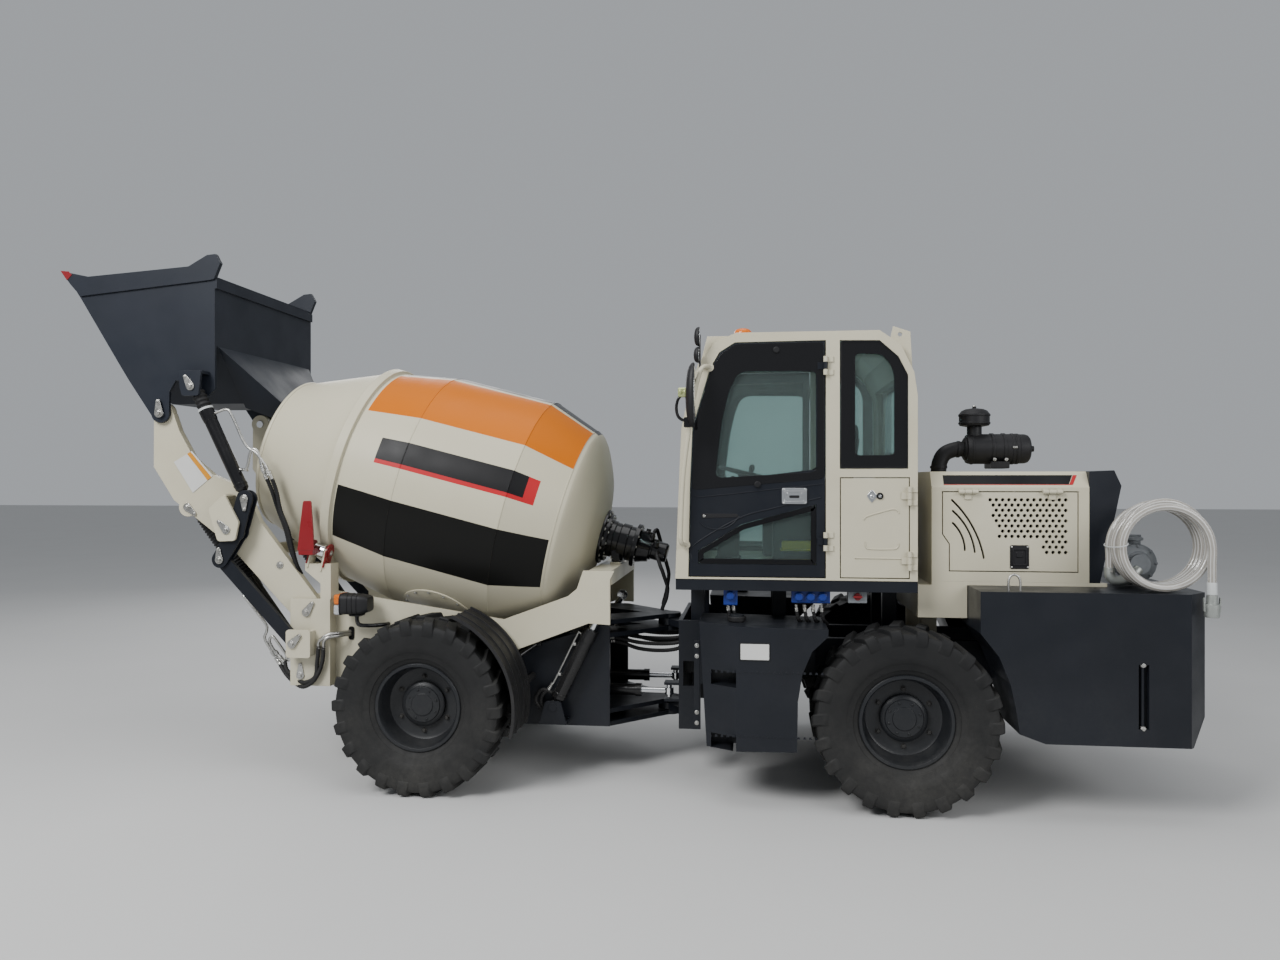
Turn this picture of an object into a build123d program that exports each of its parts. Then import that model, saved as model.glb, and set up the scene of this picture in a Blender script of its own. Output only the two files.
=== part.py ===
import os
from math import atan2, cos, degrees, hypot, pi, radians, sin

from build123d import *

os.makedirs("parts", exist_ok=True)

# Self-loading concrete mixer: articulated carrier, tilting drum frame in front, cab and engine behind.
# Millimetres. +Z up, -X forward, +X to the rear. The viewer's side is -Y.
# Every x below is measured from the articulation pin and shifted once, by pivot_x.

# Overall reach
front_reach = 4048.0
rear_reach = 3085.0
pivot_x = (front_reach - rear_reach) / 2

# Wheels
wheel_base_half = 1450.0
tyre_radius = 537.5
tyre_width = 405.0
tread_half_track = 835.0
rim_radius = 262.0
rim_seat_radius = 254.0
hub_radius = 140.0
spindle_radius = 45.0
spindle_end = tread_half_track + 45.0
bearing_gap = 0.3
lug_count = 22
lug_rise = 24.5
lug_half, lug_lean = 33.0, 25.0
lug_inner_y = 22.0
tyre_facets = 33
disc_face, disc_thickness = 30.0, 12.0

# Articulation and steering
hinge_pin_radius = 32.0
hinge_eye_radius = 78.0
hinge_plate = 28.0
hinge_gap = 6.0
upper_lug_z = 930.0
lower_lug_z = 352.0
lug_thickness = 45.0
steer_base = (-560.0, 230.0)
steer_eye = (20.0, 250.0)
steer_z = 520.0
steer_barrel_radius = 38.0
steer_rod_radius = 20.0
steer_eye_radius = 36.0

# Front frame, carried on the front axle
front_frame_half = 450.0
front_plate = 22.0
tilt_pin = (-1750.0, 660.0)
tilt_pin_radius = 36.0
axle_radius = 105.0

# Drum frame
side_plate_inner = 572.0
side_plate = 25.0
tilt_eye = (-404.0, 1064.0)
tilt_base = (-703.0, 461.0)
tilt_cylinder_y = 520.0
tilt_barrel_radius = 46.0
tilt_rod_radius = 26.0

# Drum, measured along its axis from the rear flange towards the mouth
drum_slope = 14.5
drum_rear = (-466.0, 1531.0)
drum_wall = 8.0
drum_flange_radius = 190.0
dish_station, dish_radius = 185.0, 690.0
belly_rear_station, belly_front_station, belly_radius = 540.0, 1250.0, 822.0
ring_station, neck_radius, ring_radius, ring_width = 1690.0, 752.0, 778.0, 64.0
mouth_station, mouth_radius, bead_radius = 2330.0, 520.0, 13.0

# Loader linkage, pins as (x, z)
arm_pin = (-2310.0, 1063.0)
link_drop = (-60.0, -195.0)
rocker_pin = (-2815.0, 1600.0)
bucket_pin = (-3340.0, 2369.0)
lift_base = (-2352.0, 652.0)
lift_eye = (-3161.0, 1743.0)
crowd_base = (-2703.0, 1802.0)
crowd_eye = (-3064.0, 2537.0)
arm_inner = 603.0
arm_plate = 50.0
ear_inner = 660.0
ear_plate = 20.0
link_y = 722.0
lift_y = 515.0
lift_barrel_radius = 45.0
lift_rod_radius = 26.0
crowd_barrel_radius = 42.0
crowd_rod_radius = 24.0
pin_radius = 27.0
pin_gap = 0.3

# Cab
cab_half = 850.0
cab_wall = 50.0
cab_front = 118.0
cab_rear = 1509.0
cab_base = 1329.0
cab_roof = 2806.0
door_gap = 6.0
door_rear = 1006.0
locker_rear = 1490.0
door_hinge_z = (1560.0, 2600.0)
locker_hinge_z = (1450.0, 1830.0)
hinge_out, hinge_pin, running_gap = 16.0, 7.0, 0.05
knuckle_radius, knuckle_half, knuckle_split = 13.0, 55.0, 22.0
leaf_thickness, leaf_reach = 8.0, 46.0
glass_thickness = 6.0

# Rear body
hood_half = 700.0
hood_front = 1640.0
hood_rear = 2540.0
hood_cap_depth = 150.0
hood_base = 1317.0
hood_top = 1975.0
tank_half = 1030.0
tank_front = wheel_base_half + 399.0
tank_top = 1296.0
tank_base = 450.0
box_half = 1000.0
box_inner = 470.0
tank_inner = 540.0

# Suction hose, wound about a level axis along Y and standing on the water tank
hose_diameter = 46.0
coil_radius = 230.0
coil_centre = (2850.0, tank_top + coil_radius + hose_diameter / 2 + 0.3)
coil_left = coil_centre[0] - coil_radius
hose_start_y = -796.0
port_z = 1380.0


def x_of(x):
    """A distance from the articulation pin as an x of the model."""
    return pivot_x + x


def slab(outline, low, high, mode=Mode.ADD, radius=0.0):
    """A side outline of (x, z) points, filled from y = low to y = high."""
    points = [(x_of(x), z) for x, z in outline]
    with BuildSketch(Plane.XZ.offset(-high)) as profile:
        with BuildLine():
            if radius:
                FilletPolyline(*points, radius=radius, close=True)
            else:
                Polyline(*points, close=True)
        make_face()
    extrude(profile.sketch, amount=high - low, mode=mode)


def slabs(outline, inner, outer, mode=Mode.ADD, radius=0.0):
    """The same outline on both sides of the machine, between two distances from its middle."""
    for side in (-1, 1):
        low, high = sorted((side * inner, side * outer))
        slab(outline, low, high, mode, radius)


def block(x0, x1, y0, y1, z0, z1, mode=Mode.ADD):
    """A box between two corners."""
    with Locations((x_of((x0 + x1) / 2), (y0 + y1) / 2, (z0 + z1) / 2)):
        Box(x1 - x0, y1 - y0, z1 - z0, mode=mode)


def blocks(x0, x1, inner, outer, z0, z1, mode=Mode.ADD):
    """The same box on both sides of the machine."""
    for side in (-1, 1):
        low, high = sorted((side * inner, side * outer))
        block(x0, x1, low, high, z0, z1, mode)


def plan(outline, low, high, mode=Mode.ADD):
    """A level outline of (x, y) points, filled from z = low to z = high."""
    with BuildSketch(Plane.XY.offset(low)) as level:
        with BuildLine():
            Polyline(*[(x_of(x), y) for x, y in outline], close=True)
        make_face()
    extrude(level.sketch, amount=high - low, mode=mode)


def rod(start, end, radius, mode=Mode.ADD):
    """A round bar between two (x, y, z) points."""
    first = Vector(x_of(start[0]), start[1], start[2])
    last = Vector(x_of(end[0]), end[1], end[2])
    with BuildSketch(Plane(origin=first, z_dir=last - first)) as profile:
        Circle(radius)
    extrude(profile.sketch, amount=(last - first).length, mode=mode)


def cross_pin(centre, inner, outer, radius, mode=Mode.ADD):
    """A pin along Y at an (x, z) point, on both sides of the machine."""
    for side in (-1, 1):
        rod((centre[0], side * inner, centre[1]), (centre[0], side * outer, centre[1]), radius, mode)


def along(start, end, distance):
    """The (x, z) point at a distance from start towards end."""
    reach = hypot(end[0] - start[0], end[1] - start[1])
    share = distance / reach
    return (start[0] + share * (end[0] - start[0]), start[1] + share * (end[1] - start[1]))


def bar(start, end, half_width, low, high, mode=Mode.ADD):
    """A flat link with round ends about two (x, z) points, between two y values."""
    dx, dz = end[0] - start[0], end[1] - start[1]
    middle = (x_of((start[0] + end[0]) / 2), (start[1] + end[1]) / 2)
    with BuildSketch(Plane.XZ.offset(-high)) as profile:
        with Locations(middle):
            SlotCenterToCenter(hypot(dx, dz), 2 * half_width, rotation=degrees(atan2(dz, dx)))
    extrude(profile.sketch, amount=high - low, mode=mode)


def bars(start, end, half_width, inner, outer, mode=Mode.ADD):
    """The same flat link on both sides of the machine."""
    for side in (-1, 1):
        low, high = sorted((side * inner, side * outer))
        bar(start, end, half_width, low, high, mode)


def upright_hinge(x, side, face, z, fixed):
    """A hinge with an upright pin outside a side face: one half holds the pin, the other turns on it."""
    y = side * (face + hinge_out)
    low, high = sorted((side * face, side * (face + leaf_thickness)))
    near, far = sorted((side * face, y))
    if fixed:
        for z0, z1 in ((z - knuckle_half, z - knuckle_split), (z + knuckle_split, z + knuckle_half)):
            rod((x, y, z0), (x, y, z1), knuckle_radius)
            block(x, x + knuckle_radius, near, far, z0, z1)
            block(x + 3, x + leaf_reach, low, high, z0, z1)
        rod((x, y, z - knuckle_half), (x, y, z + knuckle_half), hinge_pin)
    else:
        z0, z1 = z - knuckle_split + 2, z + knuckle_split - 2
        rod((x, y, z0), (x, y, z1), knuckle_radius)
        block(x - knuckle_radius, x, near, far, z0, z1)
        block(x - leaf_reach, x - 3, low, high, z0, z1)
        rod((x, y, z0 - 1), (x, y, z1 + 1), hinge_pin + running_gap, Mode.SUBTRACT)


def level_hinge(x, side, face, z, fixed):
    """A hinge with a level pin along X outside a side face, the fixed half above the turning one."""
    y = side * (face + hinge_out)
    low, high = sorted((side * face, side * (face + leaf_thickness)))
    near, far = sorted((side * face, y))
    if fixed:
        for x0, x1 in ((x - knuckle_half, x - knuckle_split), (x + knuckle_split, x + knuckle_half)):
            rod((x0, y, z), (x1, y, z), knuckle_radius)
            block(x0, x1, near, far, z, z + knuckle_radius)
            block(x0, x1, low, high, z + 3, z + 22)
        rod((x - knuckle_half, y, z), (x + knuckle_half, y, z), hinge_pin)
    else:
        x0, x1 = x - knuckle_split + 2, x + knuckle_split - 2
        rod((x0, y, z), (x1, y, z), knuckle_radius)
        block(x0, x1, near, far, z - knuckle_radius, z)
        block(x0, x1, low, high, z - leaf_reach, z - 3)
        rod((x0 - 1, y, z), (x1 + 1, y, z), hinge_pin + running_gap, Mode.SUBTRACT)


def finish(builder, name):
    """Labels a finished piece and writes it."""
    builder.part.label = name
    export_step(builder.part, f"parts/{name}.step")


eye_half = 16.0
gland_length = 60.0
gland_step = 5.0
rod_gap = 0.5


def barrels(base, eye, y, radius, rod_radius, neck, length):
    """Cylinder barrels on both sides: base eye, neck, tube, gland and the bore for the rod."""
    eye_radius = pin_radius + 13.0
    start, bore = along(base, eye, neck), along(base, eye, neck + 30.0)
    mouth, tip = along(base, eye, length - gland_length), along(base, eye, length)
    cross_pin(base, y - eye_half, y + eye_half, eye_radius)
    bars(base, along(base, eye, neck + 10.0), eye_radius - 8.0, y - eye_half, y + eye_half)
    for side in (-1, 1):
        rod((start[0], side * y, start[1]), (tip[0], side * y, tip[1]), radius)
        rod((mouth[0], side * y, mouth[1]), (tip[0], side * y, tip[1]), radius + gland_step)
        rod((bore[0], side * y, bore[1]), (tip[0], side * y, tip[1]), rod_radius + rod_gap, Mode.SUBTRACT)
    cross_pin(base, y - eye_half - 1, y + eye_half + 1, pin_radius + pin_gap, Mode.SUBTRACT)


def rods(base, eye, y, rod_radius, length, stub_inner, stub_outer):
    """Cylinder rods on both sides, each with its eye and the pin that it carries."""
    back = along(eye, base, length)
    cross_pin(eye, y - eye_half, y + eye_half, pin_radius + 13.0)
    cross_pin(eye, stub_inner, stub_outer, pin_radius)
    for side in (-1, 1):
        rod((eye[0], side * y, eye[1]), (back[0], side * y, back[1]), rod_radius)


# Rear frame: bulkhead at the hinge, two rails, cross bars, and the base frame of the cab
bulkhead = 100.0
rail_inner, rail_outer = 262.0, 312.0
rail_base, rail_top = 655.0, 900.0
column_half = 450.0
column_base, column_top = 320.0, 1020.0
cab_rail_base = 1262.0
with BuildPart() as rear_frame:
    block(bulkhead, bulkhead + 25, -column_half, column_half, column_base, column_top)
    slabs([(bulkhead, column_base), (240, column_base), (240, 610), (420, rail_base), (420, rail_top),
           (240, column_top), (bulkhead, column_top)], column_half - 22, column_half)
    blocks(130, 205, column_half - 30, column_half + 5, 596, 757, Mode.SUBTRACT)
    blocks(bulkhead, 2600, rail_inner, rail_outer, rail_base, rail_top)
    for cross_x in (300, 900, 1700, 2300):
        block(cross_x, cross_x + 60, -rail_inner, rail_inner, rail_base + 40, rail_top - 40)
    for arm_x in (330, 900):
        blocks(arm_x, arm_x + 70, rail_inner, box_inner, rail_base + 60, rail_top - 60)
    blocks(2210, 2300, rail_outer, tank_inner, rail_base + 60, rail_top - 60)
    for post_x in (170, 700, 1400):
        blocks(post_x, post_x + 90, rail_inner, rail_outer, rail_top, cab_rail_base)
    block(cab_front - 4, cab_rear + 26, -cab_half + 5, cab_half - 5, cab_rail_base, cab_base)
    block(cab_front + 70, cab_rear - 50, -cab_half + 80, cab_half - 80, cab_rail_base - 5,
          cab_base - 15, Mode.SUBTRACT)
    blocks(400, 1450, rail_inner, cab_half - 60, cab_rail_base, cab_rail_base + 8)
    for x0, x1, valve_base in ((402, 482, 1165), (809, 1033, 1184), (1140, 1250, 1190)):
        block(x0, x1, -cab_half + 60, -cab_half + 140, valve_base, cab_rail_base + 1)
    for base in (lower_lug_z, upper_lug_z):
        with BuildSketch(Plane.XY.offset(base)):
            with Locations((x_of(0), 0)):
                Circle(hinge_eye_radius)
            with BuildLine():
                Polyline((x_of(bulkhead + 5), -230), (x_of(bulkhead + 5), 230), (x_of(0), hinge_eye_radius),
                         (x_of(0), -hinge_eye_radius), close=True)
            make_face()
            with Locations((x_of(0), 0)):
                Circle(hinge_pin_radius + pin_gap, mode=Mode.SUBTRACT)
        extrude(amount=lug_thickness)
    for side in (-1, 1):
        for plate_z in (steer_z - steer_eye_radius - 26, steer_z + steer_eye_radius + 10):
            y = side * steer_eye[1]
            block(steer_eye[0] - 30, bulkhead, y - 45, y + 45, plate_z, plate_z + 16)
finish(rear_frame, "rear_frame")

with BuildPart() as rear_axle:
    axle_z = tyre_radius
    hub_face = tread_half_track - 40
    rod((wheel_base_half, -hub_face, axle_z), (wheel_base_half, hub_face, axle_z), 62)
    rod((wheel_base_half, -spindle_end, axle_z), (wheel_base_half, spindle_end, axle_z), spindle_radius)
    rod((wheel_base_half, -470, axle_z), (wheel_base_half, 470, axle_z), axle_radius)
    with Locations((x_of(wheel_base_half), 0, axle_z)):
        Sphere(190)
    blocks(wheel_base_half - 90, wheel_base_half + 90, rail_inner, rail_outer, axle_z + 60, rail_base)
finish(rear_axle, "rear_axle")


# Cab: one hollow shell with its openings cut, floor and roof closed
cab_outline = [(112, cab_base), (130, 1803), (148, 2231), (196, 2466), (250, 2622), (352, 2753),
               (478, cab_roof), (1317, cab_roof), (1439, 2719), (1515, 2558), (1535, 2422), (1535, cab_base)]
door_outline = [(190, cab_base + 12), (200, 1880), (215, 2240), (320, 2592), (376, 2690), (470, 2748),
                (door_rear, 2752), (door_rear, cab_base + 12)]
quarter_outline = [(1087, 2750), (1317, 2746), (1425, 2650), (1480, 2540), (1480, 1990), (1087, 1990)]
locker_outline = [(1087, 1940), (locker_rear, 1940), (locker_rear, cab_base + 14), (1087, cab_base + 14)]
roof_lug = (1440.0, 2785.0)
lug_plate, lug_hole_radius = 14.0, 13.0
windscreen_cut = [(60, 1470), (184, 1470), (205, 2231), (250, 2466), (290, 2590), (60, 2590)]


def grown(outline, amount, low, high, mode):
    """A side outline offset outwards, or inwards with a minus sign, then filled between two y values."""
    with BuildSketch(Plane.XZ.offset(-high)) as profile:
        with BuildLine():
            Polyline(*[(x_of(x), z) for x, z in outline], close=True)
        make_face()
        offset(amount=amount, kind=Kind.INTERSECTION, mode=Mode.REPLACE)
    extrude(profile.sketch, amount=high - low, mode=mode)


with BuildPart() as cab_shell:
    slab(cab_outline, -cab_half, cab_half)
    grown(cab_outline, -cab_wall, -cab_half + cab_wall, cab_half - cab_wall, Mode.SUBTRACT)
    for low, high in ((-cab_half - 5, -cab_half + cab_wall + 5), (cab_half - cab_wall - 5, cab_half + 5)):
        slab(door_outline, low, high, Mode.SUBTRACT)
        slab(quarter_outline, low, high, Mode.SUBTRACT)
        slab(locker_outline, low, high, Mode.SUBTRACT)
    slab(windscreen_cut, -cab_half + 90, cab_half - 90, Mode.SUBTRACT)
    block(1460, 1560, -560, 560, 2060, 2560, Mode.SUBTRACT)
    slabs([(1380, 2740), (1400, 2835), (1500, 2800), (1512, 2560)], cab_half - 60, cab_half - 60 + lug_plate)
    cross_pin(roof_lug, cab_half - 61, cab_half - 59 + lug_plate, lug_hole_radius, Mode.SUBTRACT)
    for side in (-1, 1):
        for z in door_hinge_z:
            upright_hinge(door_rear - door_gap / 2, side, cab_half, z, True)
        for z in locker_hinge_z:
            upright_hinge(locker_rear - door_gap / 2, side, cab_half, z, True)
finish(cab_shell, "cab_shell")

with BuildPart() as cab_glass:
    screen_wall = [(140, 1470), (158, 2231), (204, 2466), (240, 2590)]
    inner_line = [(x + glass_thickness, z) for x, z in reversed(screen_wall)]
    slab(screen_wall + inner_line, -cab_half + 90, cab_half - 90)
    block(1508, 1508 + glass_thickness, -560, 560, 2060, 2560)
    for side in (-1, 1):
        low, high = sorted((side * (cab_half - 30), side * (cab_half - 30 + glass_thickness)))
        slab(quarter_outline, low, high)
finish(cab_glass, "cab_glass")

with BuildPart() as driver_seat:
    block(720, 1180, -235, 235, cab_base + cab_wall, 1600)
    block(690, 1190, -250, 250, 1600, 1720)
    slab([(1080, 1720), (1200, 1720), (1300, 2330), (1210, 2350)], -230, 230)
finish(driver_seat, "driver_seat")

with BuildPart() as steering_column:
    block(330, 480, -90, 90, cab_base + cab_wall, 1560)
    rod((420, 0, 1540), (520, 0, 1960), 40)
    wheel_axis = Vector(100, 0, 420).normalized()
    hub_point = Vector(x_of(520), 0, 1960)
    with BuildSketch(Plane(origin=hub_point, z_dir=wheel_axis)):
        Circle(190)
        Circle(160, mode=Mode.SUBTRACT)
        Rectangle(330, 40)
        Circle(45)
    extrude(amount=26)
finish(steering_column, "steering_column")

for name, side in (("left", -1), ("right", 1)):
    outer_face = side * cab_half
    inner_face = side * (cab_half - 44)
    low, high = sorted((outer_face, inner_face))
    with BuildPart() as door:
        grown(door_outline, -door_gap, low, high, Mode.ADD)
        upper_pane = [(245, 1900), (262, 2200), (352, 2560), (424, 2660), (950, 2670), (950, 1985)]
        lower_pane = [(250, 1420), (250, 1500), (510, 1660), (950, 1780), (950, 1420)]
        slab(upper_pane, low - 2, high + 2, Mode.SUBTRACT)
        slab(lower_pane, low - 2, high + 2, Mode.SUBTRACT)
        for z in door_hinge_z:
            upright_hinge(door_rear - door_gap / 2, side, cab_half, z, False)
    finish(door, f"{name}_cab_door")
    glass_low = (low + high) / 2 - glass_thickness / 2
    with BuildPart() as door_glass:
        slab(upper_pane, glass_low, glass_low + glass_thickness)
        slab(lower_pane, glass_low, glass_low + glass_thickness)
    finish(door_glass, f"{name}_door_glass")
    with BuildPart() as locker:
        grown(locker_outline, -door_gap, *sorted((side * cab_half, side * (cab_half - 30))), Mode.ADD)
        for z in locker_hinge_z:
            upright_hinge(locker_rear - door_gap / 2, side, cab_half, z, False)
    finish(locker, f"{name}_locker_door")


# Tanks beside the frame, with the steps, and the water tank behind the rear wheels
arch_front = wheel_base_half - 440.0
box_outline = [(256, 1074), (arch_front, 1060), (arch_front, 1020), (arch_front - 93, 930),
               (arch_front - 148, 800), (arch_front - 174, 640), (arch_front - 179, 347), (303, 337)]
box_corner = (256.0, 860.0, 480.0)
step_spans = ((340, 424), (711, 799))
for name, side in (("fuel_tank", -1), ("hydraulic_tank", 1)):
    low, high = sorted((side * box_inner, side * box_half))
    with BuildPart() as side_box:
        slab(box_outline, low, high)
        corner_x, corner_y, corner_end = box_corner
        plan([(corner_x - 10, side * corner_y), (corner_x, side * corner_y), (corner_end, side * box_half),
              (corner_end, side * (box_half + 10)), (corner_x - 10, side * (box_half + 10))], 330, 1080,
             Mode.SUBTRACT)
        step_low, step_high = sorted((side * (corner_y - 40), side * (box_half + 5)))
        for step_base, step_top in step_spans:
            block(330, corner_end, step_low, step_high, step_base, step_top, Mode.SUBTRACT)
        rod((480, side * 800, 1060), (480, side * 800, 1112), 45)
    finish(side_box, name)

tank_outline = [(tank_front, tank_top), (rear_reach, tank_top), (rear_reach, 600),
                (rear_reach - 100, tank_base), (tank_front + 351, tank_base), (tank_front + 211, 500),
                (tank_front + 191, 640), (tank_front + 161, 780), (tank_front + 101, 930), (tank_front, 1060)]
gauge_x, gauge_z, gauge_depth = (2690.0, 2745.0), (548.0, 904.0), 38.0
with BuildPart() as water_tank:
    slab(tank_outline, -tank_half, tank_half)
    vertical = water_tank.edges().filter_by(Axis.Z).sort_by(Axis.X)[-2:]
    chamfer(vertical, 120)
    block(tank_front - 49, 2620, -tank_inner, tank_inner, tank_base - 5, tank_top + 5, Mode.SUBTRACT)
    block(*gauge_x, -tank_half - 1, -tank_half + gauge_depth, *gauge_z, Mode.SUBTRACT)
    rod((gauge_x[0] + 26, -tank_half + 18, gauge_z[0]), (gauge_x[0] + 26, -tank_half + 18, gauge_z[1]), 9)
finish(water_tank, "water_tank")

# Rear lamps on the water tank: a housing with two round lenses on each side
lamp_z = 1180.0
with BuildPart() as rear_lamps:
    for side in (-1, 1):
        low, high = sorted((side * 640, side * 850))
        block(rear_reach, rear_reach + 18, low, high, lamp_z - 55, lamp_z + 55)
        for y in (side * 695, side * 795):
            rod((rear_reach + 17, y, lamp_z), (rear_reach + 30, y, lamp_z), 42)
finish(rear_lamps, "rear_lamps")

with BuildPart() as rear_deck:
    block(1560, tank_front - 3, -hood_half, hood_half, 1100, tank_top)
    block(1590, tank_front - 29, -hood_half + 30, hood_half - 30, 1090, tank_top - 26, Mode.SUBTRACT)
    block(1640, 2640, -hood_half, hood_half, tank_top, hood_base)
    blocks(1640, 1740, rail_inner, rail_outer, rail_top, 1270)
    blocks(2400, 2500, rail_inner, rail_outer, rail_top, tank_top)
finish(rear_deck, "rear_deck")

# Engine hood with its rear cap and top-hinged side doors
hood_section = [(-hood_half, hood_base), (-hood_half, 1880), (-hood_half + 60, hood_top),
                (hood_half - 60, hood_top), (hood_half, 1880), (hood_half, hood_base)]
hood_wall = 24.0
flap_top = 1857.0
flap_hinge_x = (1850.0, 2330.0)
flap_outline = [(hood_front + 60, flap_top), (hood_rear - 60, flap_top), (hood_rear - 60, hood_base + 60),
                (hood_front + 100, hood_base + 60), (hood_front + 100, 1540), (hood_front + 60, 1600)]
with BuildPart() as engine_hood:
    with BuildSketch(Plane.YZ.offset(x_of(hood_front))):
        with BuildLine():
            Polyline(*hood_section, close=True)
        make_face()
    extrude(amount=hood_rear - hood_front)
    with BuildSketch(Plane.YZ.offset(x_of(hood_front + hood_wall))):
        with BuildLine():
            Polyline(*hood_section, close=True)
        make_face()
        offset(amount=-hood_wall, kind=Kind.INTERSECTION, mode=Mode.REPLACE)
    extrude(amount=hood_rear - hood_front, mode=Mode.SUBTRACT)
    block(hood_front + hood_wall, hood_rear + 5, -hood_half + hood_wall, hood_half - hood_wall,
          hood_base - 5, hood_base + hood_wall + 5, Mode.SUBTRACT)
    slabs(flap_outline, hood_half - hood_wall - 5, hood_half + 5, Mode.SUBTRACT)
    for side in (-1, 1):
        for x in flap_hinge_x:
            level_hinge(x, side, hood_half, flap_top - door_gap / 2, True)
finish(engine_hood, "engine_hood")

cap_rear = hood_rear + hood_cap_depth
with BuildPart() as hood_rear_cap:
    cap_outline = [(hood_rear, hood_base), (hood_rear, hood_top - 2), (cap_rear - 10, hood_top + 6),
                   (cap_rear + 30, 1890), (cap_rear, 1740), (hood_rear + 60, hood_base)]
    cap_hollow = [(hood_rear - 5, hood_base + 40), (hood_rear - 5, hood_top - 40),
                  (cap_rear - 30, hood_top - 40), (cap_rear - 20, 1760), (hood_rear + 20, hood_base + 40)]
    slab(cap_outline, -hood_half + 2, hood_half - 2)
    slab(cap_hollow, -hood_half + 30, hood_half - 30, Mode.SUBTRACT)
finish(hood_rear_cap, "hood_rear_cap")

# Each side door has a grille of staggered holes and three curved slots, each slot through three (x, z) points
grille_pitch, grille_hole = 35.8, 11.5
grille_row = grille_pitch * 0.866
grille_top, grille_front, grille_back = 1806.0, 1962.0, 2408.0
grille_step = (1582.0, 2272.0)
grille_base = 1480.0
grille_slant = (2034.0 - grille_front) / (grille_top - grille_step[0])
slot_points = [((1758, 1804), (1862, 1673), (1942, 1460)), ((1763, 1739), (1844, 1638), (1890, 1495)),
               ((1763, 1667), (1810, 1602), (1833, 1506))]
slot_width = 12.0
grille_spots = []
for row in range(int((grille_top - grille_base) / grille_row) + 1):
    z = grille_top - row * grille_row
    start = grille_front + grille_slant * (grille_top - z) if z > grille_step[0] - 5 else grille_step[1]
    x = grille_back - (row % 2) * grille_pitch / 2
    while x > start:
        grille_spots.append((x_of(x), z))
        x -= grille_pitch

for name, side in (("left", -1), ("right", 1)):
    low, high = sorted((side * hood_half, side * (hood_half - hood_wall)))
    with BuildPart() as hood_door:
        grown(flap_outline, -door_gap, low, high, Mode.ADD)
        with BuildSketch(Plane.XZ.offset(-high - 1)) as cuts:
            with Locations(*grille_spots):
                RegularPolygon(grille_hole, 6)
            for points in slot_points:
                arc = Edge.make_three_point_arc(*[Vector(x_of(x), z) for x, z in points])
                SlotArc(arc, slot_width)
        extrude(cuts.sketch, amount=hood_wall + 2, mode=Mode.SUBTRACT)
        for x in flap_hinge_x:
            level_hinge(x, side, hood_half, flap_top - door_gap / 2, False)
    finish(hood_door, f"{name}_hood_door")

with BuildPart() as engine_block:
    block(1760, 2380, -300, 300, hood_base, 1760)
finish(engine_block, "engine_block")

with BuildPart() as air_cleaner:
    rod((1900, -330, 2120), (2300, -330, 2120), 95)
    rod((1980, -330, 2200), (1980, -330, 2270), 45)
    rod((1980, -330, 2262), (1980, -330, 2370), 88)
    block(2060, 2120, -400, -260, hood_top, 2060)
    rod((1900, -330, 2120), (1780, -330, 2090), 55)
    rod((1780, -330, 2110), (1780, -330, hood_top), 55)
finish(air_cleaner, "air_cleaner")

# Water pump on the tank: base, motor, pump housing, and the suction elbow that turns up beside it
pump_axis = (2800.0, tank_top + 144.0)
pump_faces = (-740.0, -600.0)
motor_face = -430.0
with BuildPart() as water_pump:
    block(pump_axis[0] - 90, pump_axis[0] + 90, pump_faces[0] + 20, motor_face, tank_top, tank_top + 30)
    for y in (motor_face - 60, pump_faces[0] + 60):
        block(pump_axis[0] - 40, pump_axis[0] + 40, y - 30, y + 30, tank_top + 30, pump_axis[1])
    rod((pump_axis[0], pump_faces[0], pump_axis[1]), (pump_axis[0], pump_faces[1], pump_axis[1]), 110)
    rod((pump_axis[0], pump_faces[1], pump_axis[1]), (pump_axis[0], motor_face, pump_axis[1]), 80)
    rod((pump_axis[0], -670, pump_axis[1]), (pump_axis[0], -670, pump_axis[1] + 160), 34)
    rod((pump_axis[0] - 60, pump_faces[0] + 5, port_z - 40), (coil_left, pump_faces[0] + 5, port_z - 40), 25)
    rod((coil_left, pump_faces[0] + 30, port_z - 40), (coil_left, hose_start_y, port_z - 40), 29)
    rod((coil_left, hose_start_y, port_z - 72), (coil_left, hose_start_y, port_z), 34)
finish(water_pump, "water_pump")

# Suction hose: up out of the pump's elbow, wound clockwise, then down to its coupling behind the tank
hose_turns = 4.5
hose_radius = hose_diameter / 2
coil_pitch = hose_diameter + 0.5
hose_end_y = hose_start_y - hose_turns * coil_pitch
coil_right = coil_centre[0] + coil_radius
coupling_z = 1290.0
with BuildPart() as hose_riser:
    rod((coil_left, hose_start_y, port_z), (coil_left, hose_start_y, coil_centre[1]), hose_radius)
finish(hose_riser, "hose_riser")

with BuildPart() as hose_coil:
    near, far = hose_end_y - hose_radius, hose_start_y + hose_radius
    for reach, mode in ((coil_radius + hose_radius, Mode.ADD), (coil_radius - hose_radius, Mode.SUBTRACT)):
        rod((coil_centre[0], near, coil_centre[1]), (coil_centre[0], far, coil_centre[1]), reach, mode)
finish(hose_coil, "hose_coil")

with BuildPart() as hose_tail:
    rod((coil_right, hose_end_y, coil_centre[1]), (coil_right, hose_end_y, coupling_z), hose_radius)
finish(hose_tail, "hose_tail")

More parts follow.
